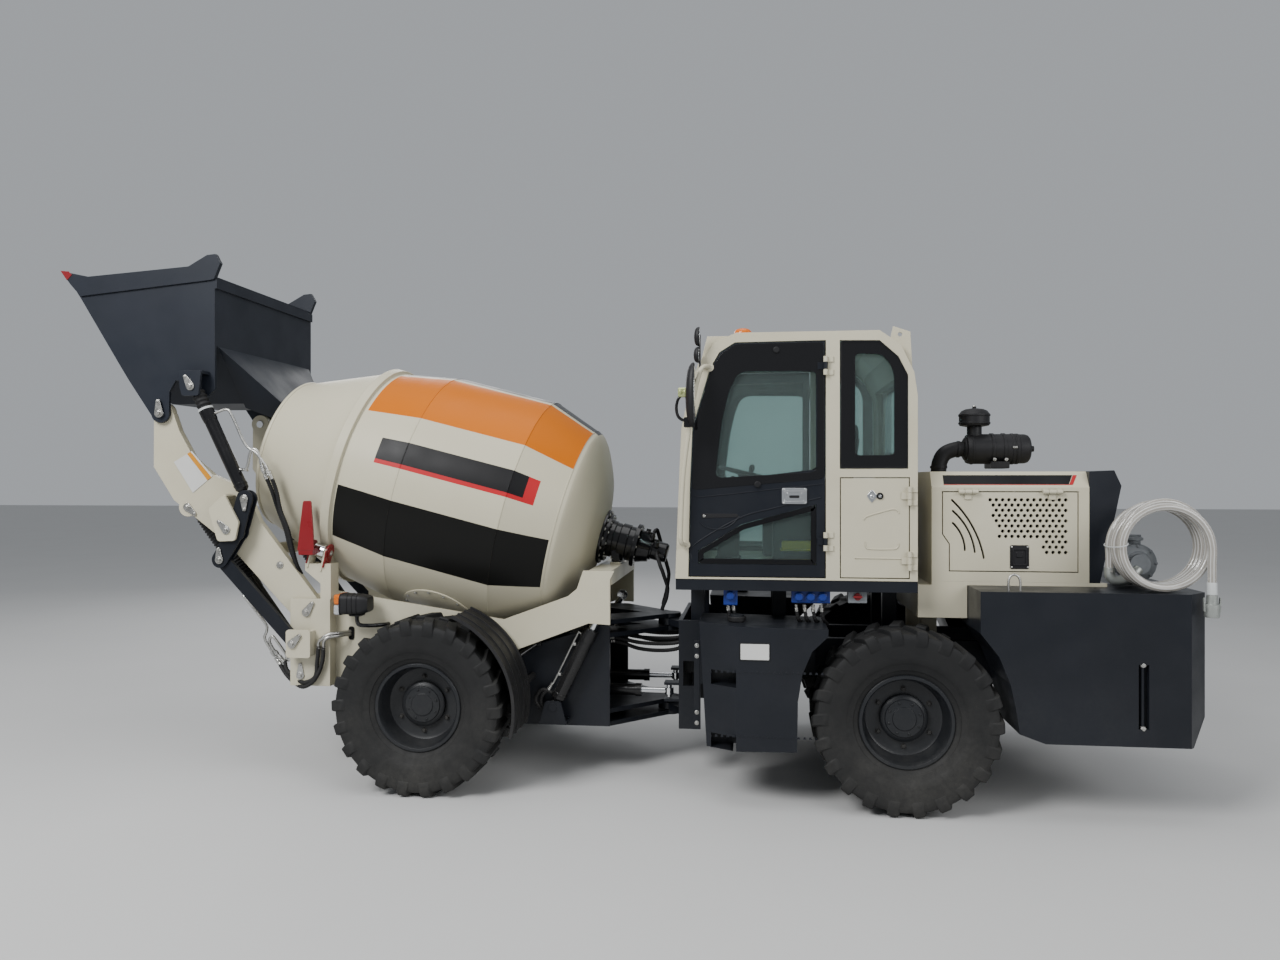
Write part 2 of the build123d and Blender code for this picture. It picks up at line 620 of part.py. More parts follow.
with BuildPart() as hose_coupling:
    steps = ((0, 60, 5, Mode.ADD), (50, 120, 16, Mode.ADD), (70, 121, 4, Mode.SUBTRACT))
    for start, end, reach, mode in steps:
        rod((coil_right, hose_end_y, coupling_z - start), (coil_right, hose_end_y, coupling_z - end),
            hose_radius + reach, mode)
    for side in (-1, 1):
        reach = hose_radius + 16
        block(coil_right + side * reach - 7, coil_right + side * reach + 7, hose_end_y - 9, hose_end_y + 9,
              coupling_z - 95, coupling_z - 10)
finish(hose_coupling, "hose_coupling")
hose_length = coil_centre[1] - port_z + hose_turns * 2 * pi * coil_radius + coil_centre[1] - coupling_z
print("suction hose", round(hose_length), "mm long, wound at radius", coil_radius)

with BuildPart() as cab_fittings:
    for side in (-1, 1):
        rail_y = side * (cab_half + 70)
        rail_line = [(158, 1540), (100, 1640), (175, 2480), (292, 2620)]
        for number, (start, end) in enumerate(zip(rail_line, rail_line[1:])):
            rod((start[0], rail_y, start[1]), (end[0], rail_y, end[1]), 14 - number)
        for x, z in (rail_line[0], rail_line[-1]):
            rod((x, side * (cab_half + 74), z), (x, side * cab_half, z), 16)
        low, high = sorted((side * (cab_half + 60), side * (cab_half + 240)))
        block(128, 152, low, high, 2230, 2560)
    rod((550, -500, cab_roof), (550, -500, cab_roof + 66), 60)
finish(cab_fittings, "cab_fittings")


# Front frame: two side plates over the axle, hinge plates behind, brackets for the tilt cylinders
with BuildPart() as front_frame:
    slabs([(-1830, 600), (-1830, 730), (-1020, 785), (-350, 995), (-350, 320), (-918, 320), (-1200, 655),
           (-1640, 655), (-1690, 600)], front_frame_half - front_plate, front_frame_half)
    inner = front_frame_half - front_plate
    block(-1640, -1000, -inner, inner, 672, 692)
    block(-1020, -1000, -inner, inner, 340, 692)
    block(-1830, -1800, -inner, inner, 610, 700)
    for plate_z in (lower_lug_z - hinge_gap - hinge_plate, lower_lug_z + lug_thickness + hinge_gap,
                    upper_lug_z - hinge_gap - hinge_plate, upper_lug_z + lug_thickness + hinge_gap):
        with BuildSketch(Plane.XY.offset(plate_z)):
            with Locations((x_of(0), 0)):
                Circle(hinge_eye_radius)
            with BuildLine():
                Polyline((x_of(-620), -inner - 2), (x_of(-620), inner + 2), (x_of(-350), inner + 2),
                         (x_of(0), hinge_eye_radius), (x_of(0), -hinge_eye_radius), (x_of(-350), -inner - 2),
                         close=True)
            make_face()
        extrude(amount=hinge_plate)
    plan([(-540, -230), (-540, 230), (-190, 0)], upper_lug_z - 60, upper_lug_z + 100, Mode.SUBTRACT)
    for lug_z in (lower_lug_z, upper_lug_z):
        rod((0, 0, lug_z - hinge_gap - 2), (0, 0, lug_z + lug_thickness + hinge_gap + 2), hinge_pin_radius)
    for side in (-1, 1):
        for plate_z in (steer_z - steer_eye_radius - 26, steer_z + steer_eye_radius + 10):
            y = side * steer_base[1]
            low, high = sorted((y - side * 60, side * (inner + 2)))
            block(steer_base[0] - 60, steer_base[0] + 60, low, high, plate_z, plate_z + 16)
        base_x, base_y = steer_base[0], side * steer_base[1]
        rod((base_x, base_y, steer_z - 50), (base_x, base_y, steer_z + 50), pin_radius)
    cross_pin(tilt_pin, front_frame_half - 60, side_plate_inner + side_plate + 1, tilt_pin_radius)
    cross_pin(tilt_pin, front_frame_half - 60, front_frame_half + 20, tilt_pin_radius + 32)
    bracket = [(tilt_base[0] - 90, 350), (tilt_base[0] + 90, 350), (tilt_base[0] + 50, 500),
               (tilt_base[0] - 50, 500)]
    slabs(bracket, tilt_cylinder_y + 30, tilt_cylinder_y + 46, radius=20)
    blocks(tilt_base[0] - 90, tilt_base[0] + 90, front_frame_half, tilt_cylinder_y + 46, 350, 372)
    cross_pin(tilt_base, front_frame_half - 5, tilt_cylinder_y + 52, pin_radius)
finish(front_frame, "front_frame")

with BuildPart() as front_axle:
    rod((-wheel_base_half, -hub_face, axle_z), (-wheel_base_half, hub_face, axle_z), 62)
    rod((-wheel_base_half, -spindle_end, axle_z), (-wheel_base_half, spindle_end, axle_z), spindle_radius)
    rod((-wheel_base_half, -470, axle_z), (-wheel_base_half, 470, axle_z), axle_radius)
    with Locations((x_of(-wheel_base_half), 0, axle_z - 20)):
        Sphere(150)
    blocks(-wheel_base_half - 90, -wheel_base_half + 90, 300, front_frame_half, axle_z + 60, 655)
finish(front_axle, "front_axle")

# Front fenders: a quarter arc behind and above each wheel
# Each band is its inner and outer distance from the wheel's middle plane and its height on the fender
fender_radius = tyre_radius + 60
fender_bands = [(-200, 200, 8), (-200, -182, 20), (-80, -56, 16), (56, 80, 16), (182, 200, 20)]
with BuildPart() as front_fenders:
    for side in (-1, 1):
        centre_x = x_of(-wheel_base_half)
        for near, far, height in fender_bands:
            low, high = sorted((side * (tread_half_track + near), side * (tread_half_track + far)))
            with BuildSketch(Plane.XZ.offset(-high)) as arc:
                with Locations((centre_x, axle_z)):
                    Circle(fender_radius + height)
                    Circle(fender_radius, mode=Mode.SUBTRACT)
                with BuildLine():
                    Polyline((centre_x, axle_z), (centre_x + 900, axle_z - 240),
                             (centre_x + 900, axle_z + 900), (centre_x + 360, axle_z + 900), close=True)
                make_face(mode=Mode.INTERSECT)
            extrude(arc.sketch, amount=high - low)
        rod((-861, side * front_frame_half, 640), (-861, side * (tread_half_track - 150), 640), 22)
finish(front_fenders, "front_fenders")

# Steering cylinders: barrels on the front frame, rods towards the rear bulkhead
for name, side in (("left", -1), ("right", 1)):
    base = Vector(x_of(steer_base[0]), side * steer_base[1], steer_z)
    eye = Vector(x_of(steer_eye[0]), side * steer_eye[1], steer_z)
    way = (eye - base).normalized()
    with BuildPart() as barrel:
        for start, end, radius in ((50, 395, steer_barrel_radius), (355, 395, steer_barrel_radius + 5)):
            with BuildSketch(Plane(origin=base + way * start, z_dir=way)):
                Circle(radius)
            extrude(amount=end - start)
        with BuildSketch(Plane.XY.offset(steer_z - 22)):
            with Locations((base.X, base.Y)):
                Circle(steer_eye_radius + 6)
            with Locations(Vector(*(base + way * 35))):
                Rectangle(60, 50, rotation=degrees(atan2(way.Y, way.X)))
        extrude(amount=44)
        with BuildSketch(Plane.XY.offset(steer_z - 23)):
            with Locations((base.X, base.Y)):
                Circle(pin_radius + pin_gap)
        extrude(amount=46, mode=Mode.SUBTRACT)
        with BuildSketch(Plane(origin=base + way * 66, z_dir=way)):
            Circle(steer_rod_radius + rod_gap)
        extrude(amount=340, mode=Mode.SUBTRACT)
    finish(barrel, f"{name}_steering_barrel")
    with BuildPart() as steering_rod:
        with BuildSketch(Plane(origin=eye, z_dir=-way)):
            Circle(steer_rod_radius)
        extrude(amount=370)
        with BuildSketch(Plane.XY.offset(steer_z - 22)):
            with Locations((eye.X, eye.Y)):
                Circle(30)
        extrude(amount=44)
        with BuildSketch(Plane.XY.offset(steer_z - 40)):
            with Locations((eye.X, eye.Y)):
                Circle(18)
        extrude(amount=80)
    finish(steering_rod, f"{name}_steering_rod")

# The drum's axis, and the places of the two rollers under its ring
c, s = cos(radians(drum_slope)), sin(radians(drum_slope))
rear_point = Vector(x_of(drum_rear[0]), 0, drum_rear[1])
forward, up = Vector(-c, 0, s), Vector(s, 0, c)
roller_radius, roller_width, roller_turn, roller_pin_radius = 46.0, 76.0, 52.0, 16.0


def roller_spot(side):
    """The middle of a mouth roller, turned out from below the drum's axis."""
    reach = ring_radius + roller_radius + bearing_gap
    drop, out = reach * cos(radians(roller_turn)), reach * sin(radians(roller_turn))
    return rear_point + forward * ring_station - up * drop + Vector(0, side * out, 0)


# Drum frame: side plates, front posts that carry the loader arms, cross members
plate_outer = side_plate_inner + side_plate
post_outer = (arm_inner + arm_plate + 5, arm_inner + arm_plate + 35)
with BuildPart() as drum_frame:
    side_line = [(-2422, 585), (-2422, 1137), (-2190, 1200), (-1020, 1025), (-600, 1180), (-540, 1230),
                 (-500, 1345), (-299, 1345), (-326, 1290), (-326, 1002), (-464, 1010), (-992, 810),
                 (-1300, 740), (-1760, 570), (-2140, 570)]
    slabs(side_line, side_plate_inner, plate_outer)
    cross_pin(tilt_pin, side_plate_inner - 1, plate_outer + 1, tilt_pin_radius + pin_gap, Mode.SUBTRACT)
    post = [(-2422, 585), (-2422, 1150), (-2150, 1150), (-2150, 585)]
    slabs(post, *post_outer)
    blocks(-2180, -2150, plate_outer, post_outer[0], 585, 1150)
    blocks(-2422, -2150, plate_outer, post_outer[0], 585, 600)
    cross_pin(arm_pin, side_plate_inner, post_outer[1] + 4, pin_radius)
    cross_pin(lift_base, lift_y - eye_half - 8, side_plate_inner, pin_radius)
    link_frame = (arm_pin[0] + link_drop[0], arm_pin[1] + link_drop[1])
    saddle = [(link_frame[0] - 45, link_frame[1] - 90), (link_frame[0] - 45, link_frame[1] + 90),
              (-2250, link_frame[1] + 90), (-2250, link_frame[1] - 90)]
    slabs(saddle, link_y + 23, link_y + 41, radius=20)
    blocks(-2280, -2250, post_outer[1], link_y + 23, link_frame[1] - 80, link_frame[1] + 80)
    cross_pin(link_frame, post_outer[1] - 5, link_y + 46, pin_radius)
    block(-470, -320, -side_plate_inner, side_plate_inner, 1253, 1345)
    block(-2180, -2120, -side_plate_inner, side_plate_inner, 700, 1000)
    block(-1000, -940, -side_plate_inner, side_plate_inner, 815, 840)
    block(-400, -330, -110, 110, 1345, 1360)
    slabs([(-2215, 1150), (-2145, 1150), (-2145, 1380), (-2320, 1380), (-2320, 1335), (-2215, 1250)],
          side_plate_inner, post_outer[1])
    for side in (-1, 1):
        for cheek in (-roller_width / 2 - 14, roller_width / 2 + 4):
            spot = roller_spot(side) + forward * cheek
            with BuildSketch(Plane(origin=spot, x_dir=(0, 1, 0), z_dir=forward)) as plate:
                with Locations((0, 50)):
                    Rectangle(90, 150)
                Circle(roller_pin_radius + 0.05, mode=Mode.SUBTRACT)
            extrude(plate.sketch, amount=10)
finish(drum_frame, "drum_frame")

# Drum: turned shell, closed at the rear, open at the mouth
drum_plane = Plane(origin=rear_point, x_dir=forward, z_dir=(0, 1, 0))
drum_axis = Axis(rear_point, forward)
outer_line = [(0, drum_flange_radius), (45, 430), (dish_station, dish_radius),
              (belly_rear_station, belly_radius), (belly_front_station, belly_radius),
              (ring_station, neck_radius), (mouth_station, mouth_radius)]
inner_line = [(x + drum_wall, z) if x < 60 else (x, z - drum_wall) for x, z in outer_line]
hatch_station, hatch_turn, hatch_rise = 890.0, 150.0, 9.0
hatch_half_length, hatch_half_width = 255.0, 222.0
hatch_out = up * cos(radians(hatch_turn)) + Vector(0, -1, 0) * sin(radians(hatch_turn))
with BuildPart() as hatch:
    with BuildSketch(drum_plane):
        with Locations((hatch_station, belly_radius + hatch_rise / 2 - 2)):
            Rectangle(2 * hatch_half_length + 20, hatch_rise + 4)
    revolve(axis=drum_axis)
    hatch_spot = rear_point + forward * hatch_station
    with BuildSketch(Plane(origin=hatch_spot, x_dir=forward, z_dir=hatch_out)) as oval:
        Ellipse(hatch_half_length, hatch_half_width)
    extrude(oval.sketch, amount=belly_radius + 60, mode=Mode.INTERSECT)

with BuildPart() as drum_shell:
    with BuildSketch(drum_plane) as half:
        with BuildLine():
            Polyline((0, 0), *outer_line, (mouth_station, inner_line[-1][1]), *reversed(inner_line[:-1]),
                     (drum_wall, 0), close=True)
        make_face()
        with Locations((ring_station, (neck_radius + ring_radius) / 2 - 2)):
            Rectangle(ring_width, ring_radius - neck_radius + 4)
        with Locations((mouth_station - bead_radius, mouth_radius)):
            Circle(bead_radius)
        with Locations((-10, drum_flange_radius / 2)):
            Rectangle(20, drum_flange_radius)
    revolve(axis=drum_axis)
    add(hatch.part)
finish(drum_shell, "drum_shell")

gear_steps = [(-22, -47, 165), (-47, -230, 125), (-230, -255, 150), (-255, -340, 110), (-340, -470, 72)]
with BuildPart() as drum_gearbox:
    for start, end, radius in gear_steps:
        with BuildSketch(Plane(origin=rear_point + forward * start, z_dir=-forward)):
            Circle(radius)
        extrude(amount=start - end)
    block(-395, -335, -105, 105, 1360, 1440)
finish(drum_gearbox, "drum_gearbox")

# Mouth rollers under the raised ring
with BuildPart() as mouth_rollers:
    for side in (-1, 1):
        spot = roller_spot(side)
        with BuildSketch(Plane(origin=spot - forward * (roller_width / 2), z_dir=forward)):
            Circle(roller_radius)
        extrude(amount=roller_width)
        with BuildSketch(Plane(origin=spot - forward * (roller_width / 2 + 14), z_dir=forward)):
            Circle(roller_pin_radius)
        extrude(amount=roller_width + 28)
finish(mouth_rollers, "mouth_rollers")

with BuildPart() as front_lamps:
    for side in (-1, 1):
        low, high = sorted((side * 640, side * 800))
        block(-2080, -1860, low, high, 1060, 1195)
        rod((-1950, side * 720, 1062), (-1950, side * 720, 990), 17)
        rod((-1950, side * 726, 1010), (-1950, side * plate_outer, 1010), 14)
finish(front_lamps, "front_lamps")

with BuildPart() as tilt_barrels:
    barrels(tilt_base, tilt_eye, tilt_cylinder_y, tilt_barrel_radius, tilt_rod_radius, 62, 560)
finish(tilt_barrels, "tilt_barrels")

with BuildPart() as tilt_rods:
    stub = (tilt_cylinder_y - 20, side_plate_inner - 5)
    rods(tilt_base, tilt_eye, tilt_cylinder_y, tilt_rod_radius, 560, *stub)
finish(tilt_rods, "tilt_rods")

# Loader arms: a dog-leg plate on each side and the tube that joins them
arm_outline = [(-3402, 2369), (-3404, 2013), (-3259, 1790), (-2880, 1505), (-2388, 1000), (-2232, 1120),
               (-2654, 1655), (-2735, 1830), (-2850, 1904), (-2980, 1958), (-3115, 2067), (-3221, 2252),
               (-3268, 2380)]
arm_outer = arm_inner + arm_plate
with BuildPart() as loader_arm:
    slabs(arm_outline, arm_inner, arm_outer, radius=25)
    cross_pin(bucket_pin, arm_inner, arm_outer, 72)
    cross_pin(arm_pin, arm_inner, arm_outer, 78)
    cross_pin(lift_eye, arm_inner, arm_outer, 62)
    cross_pin(rocker_pin, arm_inner, link_y - 33, 46)
    cross_pin(rocker_pin, arm_inner, link_y + 52, pin_radius)
    outer_box = [(-2940, 1735), (-2830, 1835), (-2730, 1650), (-2755, 1530), (-2875, 1525)]
    slabs(outer_box, link_y + 38, link_y + 56, radius=25)
    slabs([(-2940, 1740), (-2928, 1728), (-2822, 1822), (-2834, 1834)], arm_outer, link_y + 40)
    rod((-2740, -arm_inner, 1440), (-2740, arm_inner, 1440), 45)
    cross_pin(arm_pin, arm_inner - 1, arm_outer + 1, pin_radius + pin_gap, Mode.SUBTRACT)
    cross_pin(bucket_pin, arm_inner - 1, arm_outer + 1, pin_radius + pin_gap, Mode.SUBTRACT)
finish(loader_arm, "loader_arm")

with BuildPart() as lift_barrels:
    barrels(lift_base, lift_eye, lift_y, lift_barrel_radius, lift_rod_radius, 62, 760)
finish(lift_barrels, "lift_barrels")

with BuildPart() as lift_rods:
    rods(lift_base, lift_eye, lift_y, lift_rod_radius, 740, lift_y - 20, arm_inner - 5)
    far, near = along(lift_eye, lift_base, 590), along(lift_eye, lift_base, 60)
    for side in (-1, 1):
        rod((near[0], side * lift_y, near[1]), (far[0], side * lift_y, far[1]), 66)
        inside = along(lift_eye, lift_base, 70)
        rod((inside[0], side * lift_y, inside[1]), (far[0], side * lift_y, far[1]), 56, Mode.SUBTRACT)
        rod((inside[0], side * lift_y, inside[1]), (far[0], side * lift_y, far[1]), lift_rod_radius)
finish(lift_rods, "lift_rods")

# Rockers: two crescent plates on each side about the rocker pin
rocker_link = (rocker_pin[0] + link_drop[0], rocker_pin[1] + link_drop[1])
rocker_bend = (-2765.0, 1585.0)
rocker_inner, rocker_outer, rocker_plate = link_y - 32.0, link_y + 20.0, 12.0
with BuildPart() as rockers:
    for inner in (rocker_inner, rocker_outer):
        bars(crowd_base, rocker_bend, 56, inner, inner + rocker_plate)
        bars(rocker_bend, rocker_link, 54, inner, inner + rocker_plate)
        bars(rocker_bend, rocker_pin, 60, inner, inner + rocker_plate)
    cross_pin(rocker_pin, rocker_inner, rocker_outer + rocker_plate, 50)
    cross_pin(crowd_base, rocker_inner, rocker_outer + rocker_plate + 3, pin_radius)
    cross_pin(rocker_link, rocker_inner, rocker_outer + rocker_plate + 3, pin_radius)
    bore = pin_radius + pin_gap
    cross_pin(rocker_pin, rocker_inner - 1, rocker_outer + rocker_plate + 1, bore, Mode.SUBTRACT)
finish(rockers, "rockers")

with BuildPart() as level_links:
    bars(rocker_link, link_frame, 44, link_y - 16, link_y + 16)
    cross_pin(rocker_link, link_y - 17, link_y + 17, pin_radius + pin_gap, Mode.SUBTRACT)
    cross_pin(link_frame, link_y - 17, link_y + 17, pin_radius + pin_gap, Mode.SUBTRACT)
finish(level_links, "level_links")

with BuildPart() as bucket_pins:
    cross_pin(bucket_pin, arm_inner - 8, ear_inner + ear_plate + 6, pin_radius)
finish(bucket_pins, "bucket_pins")


# Bucket: side plates with ears, front and back walls, and a hopper that narrows into the chute
def from_bucket_pin(outline):
    """Points measured from the bucket pin, as (x, z) points of the machine."""
    return [(bucket_pin[0] + x, bucket_pin[1] + z) for x, z in outline]


def trapezoid_x(x, low_z, low_half, high_z, high_half):
    """A cross section across the machine at one x, measured from the bucket pin."""
    with BuildSketch(Plane.YZ.offset(x_of(bucket_pin[0] + x))) as section:
        with BuildLine():
            z0, z1 = bucket_pin[1] + low_z, bucket_pin[1] + high_z
            Polyline((-low_half, z0), (low_half, z0), (high_half, z1), (-high_half, z1), close=True)
        make_face()
    return section.sketch


def level_box(z, front, back, half):
    """A level rectangle at one height, measured from the bucket pin."""
    with BuildSketch(Plane.XY.offset(bucket_pin[1] + z)) as section:
        with Locations((x_of(bucket_pin[0] + (front + back) / 2), 0)):
            Rectangle(back - front, 2 * half)
    return section.sketch


ear_outer = ear_inner + ear_plate
bucket_rear, hopper_base, hopper_top = 388.0, 90.0, 461.0
bucket_lip = (-708.0, 961.0)
bucket_sheet = 14.0
horn = [(bucket_rear, 880), (432, 985), (400, 1045), (340, 1040), (208, 968), (-512, 919)]
side_outline = [bucket_lip, (-621, 854), (-287, 319), (-225, 222), (-62, -15), (62, -15), (66, 140),
                (110, 215), (190, 215), (215, 120), (340, 110), (bucket_rear, 157), *horn]
rim_strip = [bucket_lip, (-640, 870), (-566, 789), (358, 874), *horn]
with BuildPart() as bucket:
    slabs(from_bucket_pin(side_outline), ear_inner, ear_outer)
    cross_pin(bucket_pin, ear_inner, ear_outer, 64)
    slabs(from_bucket_pin(rim_strip), ear_outer, ear_outer + 12)
    slab(from_bucket_pin([(-376, hopper_top), bucket_lip, (-680, 961), (bucket_rear, 900),
                          (bucket_rear, hopper_top)]), -ear_inner, ear_inner)
    loft([level_box(hopper_base, -163, bucket_rear, 300), level_box(hopper_top, -376, bucket_rear, 672)],
         ruled=True)
    loft([trapezoid_x(bucket_rear, 60, 300, 440, 640), trapezoid_x(700, -70, 200, 60, 316)], ruled=True)
    inner_rear = bucket_rear - bucket_sheet
    slab(from_bucket_pin([(-359, 460), (-691, 961), (-691, 1200), (inner_rear, 1200), (inner_rear, 460)]),
         -ear_inner, ear_inner, Mode.SUBTRACT)
    loft([level_box(hopper_base + bucket_sheet, -155, inner_rear, 286),
          level_box(hopper_top + 1, -360, inner_rear, 652)], ruled=True, mode=Mode.SUBTRACT)
    loft([trapezoid_x(370, 76, 286, 426, 612), trapezoid_x(702, -56, 188, 46, 300)], ruled=True,
         mode=Mode.SUBTRACT)
    rear_x = bucket_pin[0] + bucket_rear
    block(rear_x, rear_x + bucket_sheet, -ear_outer, ear_outer, bucket_pin[1] + 820, bucket_pin[1] + 880)
    bracket = [(215, 105), (330, 105), (350, 270), (190, 270), (200, 160)]
    slabs(from_bucket_pin(bracket), link_y + 36, link_y + 54, radius=15)
    slabs(from_bucket_pin([(190, 250), (350, 250), (350, 270), (190, 270)]), ear_outer, link_y + 40)
    cross_pin(bucket_pin, ear_inner - 1, ear_outer + 1, pin_radius + pin_gap, Mode.SUBTRACT)
finish(bucket, "bucket")

with BuildPart() as crowd_barrels:
    barrels(crowd_base, crowd_eye, link_y, crowd_barrel_radius, crowd_rod_radius, 74, 660)
finish(crowd_barrels, "crowd_barrels")

with BuildPart() as crowd_rods:
    rods(crowd_base, crowd_eye, link_y, crowd_rod_radius, 640, link_y - 37, link_y + 31)
finish(crowd_rods, "crowd_rods")

# Wheels: tyre with two rows of lugs half a pitch apart, disc rim bolted to the hub
tyre_half = tyre_width / 2
bead_half = 147.5
bead_corner = (rim_seat_radius + 6 + bearing_gap) / cos(pi / tyre_facets)
carcass_radius = tyre_radius - lug_rise
lug_top = (tyre_radius ** 2 - (lug_half + lug_lean) ** 2) ** 0.5
lug_start = 180 + degrees(atan2(lug_half + lug_lean, lug_top))
half_line = [(bead_half, bead_corner), (bead_half, rim_radius + 10), (tyre_half - 8, 400),
             (tyre_half, carcass_radius)]
tyre_line = [(-y, r) for y, r in half_line] + half_line[::-1]
lug_outline = [(-lug_half - lug_lean, lug_inner_y), (lug_half - lug_lean, lug_inner_y),
               (lug_half + lug_lean, tyre_half - 6), (-lug_half + lug_lean, tyre_half - 6)]
flange_in, flange_out, flange_radius = bead_half + bearing_gap, 160.0, rim_radius + 8
rim_line = [(-flange_out, rim_seat_radius), (-flange_out, flange_radius), (-flange_in, flange_radius),
            (-flange_in, rim_seat_radius + 6), (flange_in, rim_seat_radius + 6), (flange_in, flange_radius),
            (flange_out, flange_radius), (flange_out, rim_seat_radius),
            (145, rim_seat_radius - 6), (60, 200), (-30, 200), (-145, rim_seat_radius - 6)]


def faceted_ring(line, sides):
    """A closed (y, radius) line carried round the Y axis in flat facets."""
    rings = []
    for number in range(sides):
        turn = 2 * pi * number / sides
        rings.append([Vector(r * sin(turn), -y, -r * cos(turn)) for y, r in line])
    faces = []
    for here, ahead in zip(rings, rings[1:] + rings[:1]):
        for i in range(len(line)):
            j = (i + 1) % len(line)
            faces.append(Face(Wire.make_polygon([here[i], here[j], ahead[j], ahead[i]])))
    return Solid(Shell(faces))


def lug_solid(turn, row_side):
    """One lug: its outline laid square to a radius of the wheel and filled out to the lug's top."""
    out, around = Vector(sin(turn), 0, cos(turn)), Vector(cos(turn), 0, -sin(turn))
    foot = out * (carcass_radius - 12)
    corners = [foot + around * t + Vector(0, -row_side * y, 0) for t, y in lug_outline]
    return Solid.extrude(Face(Wire.make_polygon(corners)), out * (lug_top - carcass_radius + 12))


# The left tyre about the origin: the outer row has a lug's corner at the bottom
with BuildPart() as left_tyre:
    add(faceted_ring(tyre_line, tyre_facets))
    lugs = []
    for row_side, shift in ((1, 0.0), (-1, 0.5)):
        for number in range(lug_count):
            lugs.append(lug_solid(radians(lug_start + (number + shift) * 360 / lug_count), row_side))
    add(lugs)

for end, wheel_x in (("front", -wheel_base_half), ("rear", wheel_base_half)):
    for name, side in (("left", -1), ("right", 1)):
        centre = Vector(x_of(wheel_x), side * tread_half_track, axle_z)
        hub_plane = Plane(origin=centre, x_dir=(0, side, 0), z_dir=(1, 0, 0))
        wheel_axis = Axis(centre, (0, side, 0))
        with BuildPart() as tyre:
            shape = left_tyre.part if side < 0 else left_tyre.part.mirror(Plane.XZ)
            add(shape.moved(Location(centre)))
        finish(tyre, f"{end}_{name}_tyre")
        with BuildPart() as rim:
            with BuildSketch(hub_plane):
                with BuildLine():
                    Polyline(*rim_line, close=True)
                make_face()
                with Locations((disc_face - disc_thickness / 2, 110)):
                    Rectangle(disc_thickness, 190)
                with Locations((20, hub_radius / 2)):
                    Rectangle(110, hub_radius)
                with Locations((5, (spindle_radius + running_gap) / 2)):
                    Rectangle(90, spindle_radius + running_gap, mode=Mode.SUBTRACT)
            revolve(axis=wheel_axis)
        finish(rim, f"{end}_{name}_rim")
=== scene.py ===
from math import cos, pi, radians, sin

import bmesh
import bpy
import numpy as np
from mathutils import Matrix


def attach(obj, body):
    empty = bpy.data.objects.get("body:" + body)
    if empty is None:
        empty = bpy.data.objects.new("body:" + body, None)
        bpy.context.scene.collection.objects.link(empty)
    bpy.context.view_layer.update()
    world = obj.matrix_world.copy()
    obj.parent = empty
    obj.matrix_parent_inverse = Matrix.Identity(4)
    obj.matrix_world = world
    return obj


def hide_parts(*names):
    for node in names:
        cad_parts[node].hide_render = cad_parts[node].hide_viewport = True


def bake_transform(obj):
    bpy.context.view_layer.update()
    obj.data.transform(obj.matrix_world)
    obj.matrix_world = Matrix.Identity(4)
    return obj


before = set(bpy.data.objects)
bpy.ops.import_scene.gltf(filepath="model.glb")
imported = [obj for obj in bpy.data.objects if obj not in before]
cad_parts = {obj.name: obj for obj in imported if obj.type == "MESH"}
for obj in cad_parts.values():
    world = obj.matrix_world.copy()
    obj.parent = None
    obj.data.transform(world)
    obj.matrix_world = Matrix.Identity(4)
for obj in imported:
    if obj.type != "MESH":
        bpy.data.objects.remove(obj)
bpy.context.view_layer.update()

# Places are in millimetres from the articulation pin, as in the part's source, and become metres in place().
pivot_x = 481.5

# Towards the viewer, up and down
near, upward, down = (0, -1, 0), (0, 0, 1), (0, 0, -1)


def place(points):
    """Millimetres from the pin to metres of the model: x gains the pin's own, then all are over 1000."""
    points = np.array(points, float).reshape(-1, 3)
    return (points + (pivot_x, 0.0, 0.0)) / 1000.0


def even(count):
    """Angles at even steps round a circle."""
    return np.linspace(0, 2 * pi, count, endpoint=False)


def upright(y, corners):
    """Points of an upright plane, from their x and z."""
    return [(x, y, z) for x, z in corners]


def unit(vector):
    """A vector over its own length."""
    vector = np.array(vector, float)
    return vector / np.linalg.norm(vector)


def across(way):
    """Two unit vectors square to a way and to each other, by cross products with the axis least in line with it."""
    way = unit(way)
    helper = np.eye(3)[np.argmin(np.abs(way))]
    first = unit(np.cross(way, helper))
    return first, np.cross(way, first)


def grid_faces(rows, columns, wrap_rows=False, wrap_columns=False):
    """Quads of a rows by columns grid, where the corner at (r, c) has the number r * columns + c."""
    r = np.arange(rows if wrap_rows else rows - 1)[:, None]
    c = np.arange(columns if wrap_columns else columns - 1)[None, :]
    after_r, after_c = (r + 1) % rows, (c + 1) % columns
    corners = [r * columns + c, r * columns + after_c, after_r * columns + after_c, after_r * columns + c]
    return np.stack(corners, -1).reshape(-1, 4)


def rings(points, wrap_rows=False):
    """A shape from rows of closed rings: quads between neighbours, one flat face on each end."""
    rows, columns = points.shape[:2]
    faces = [grid_faces(rows, columns, wrap_rows, True)]
    if not wrap_rows:
        first = np.arange(columns)
        faces += [first[None, ::-1], (first + (rows - 1) * columns)[None, :]]
    return points.reshape(-1, 3), faces


def turned(profile, start, way, sides=40, closed=False):
    """A profile of (station, radius) turned about an axis: start + station * way + radius * (cos a, sin a)."""
    profile = np.array(profile, float)
    first, second = across(way)
    a = even(sides)[:, None]
    circle = np.cos(a) * first + np.sin(a) * second
    points = np.array(start, float) + profile[:, :1, None] * unit(way) + profile[:, 1:, None] * circle
    return rings(points, closed)


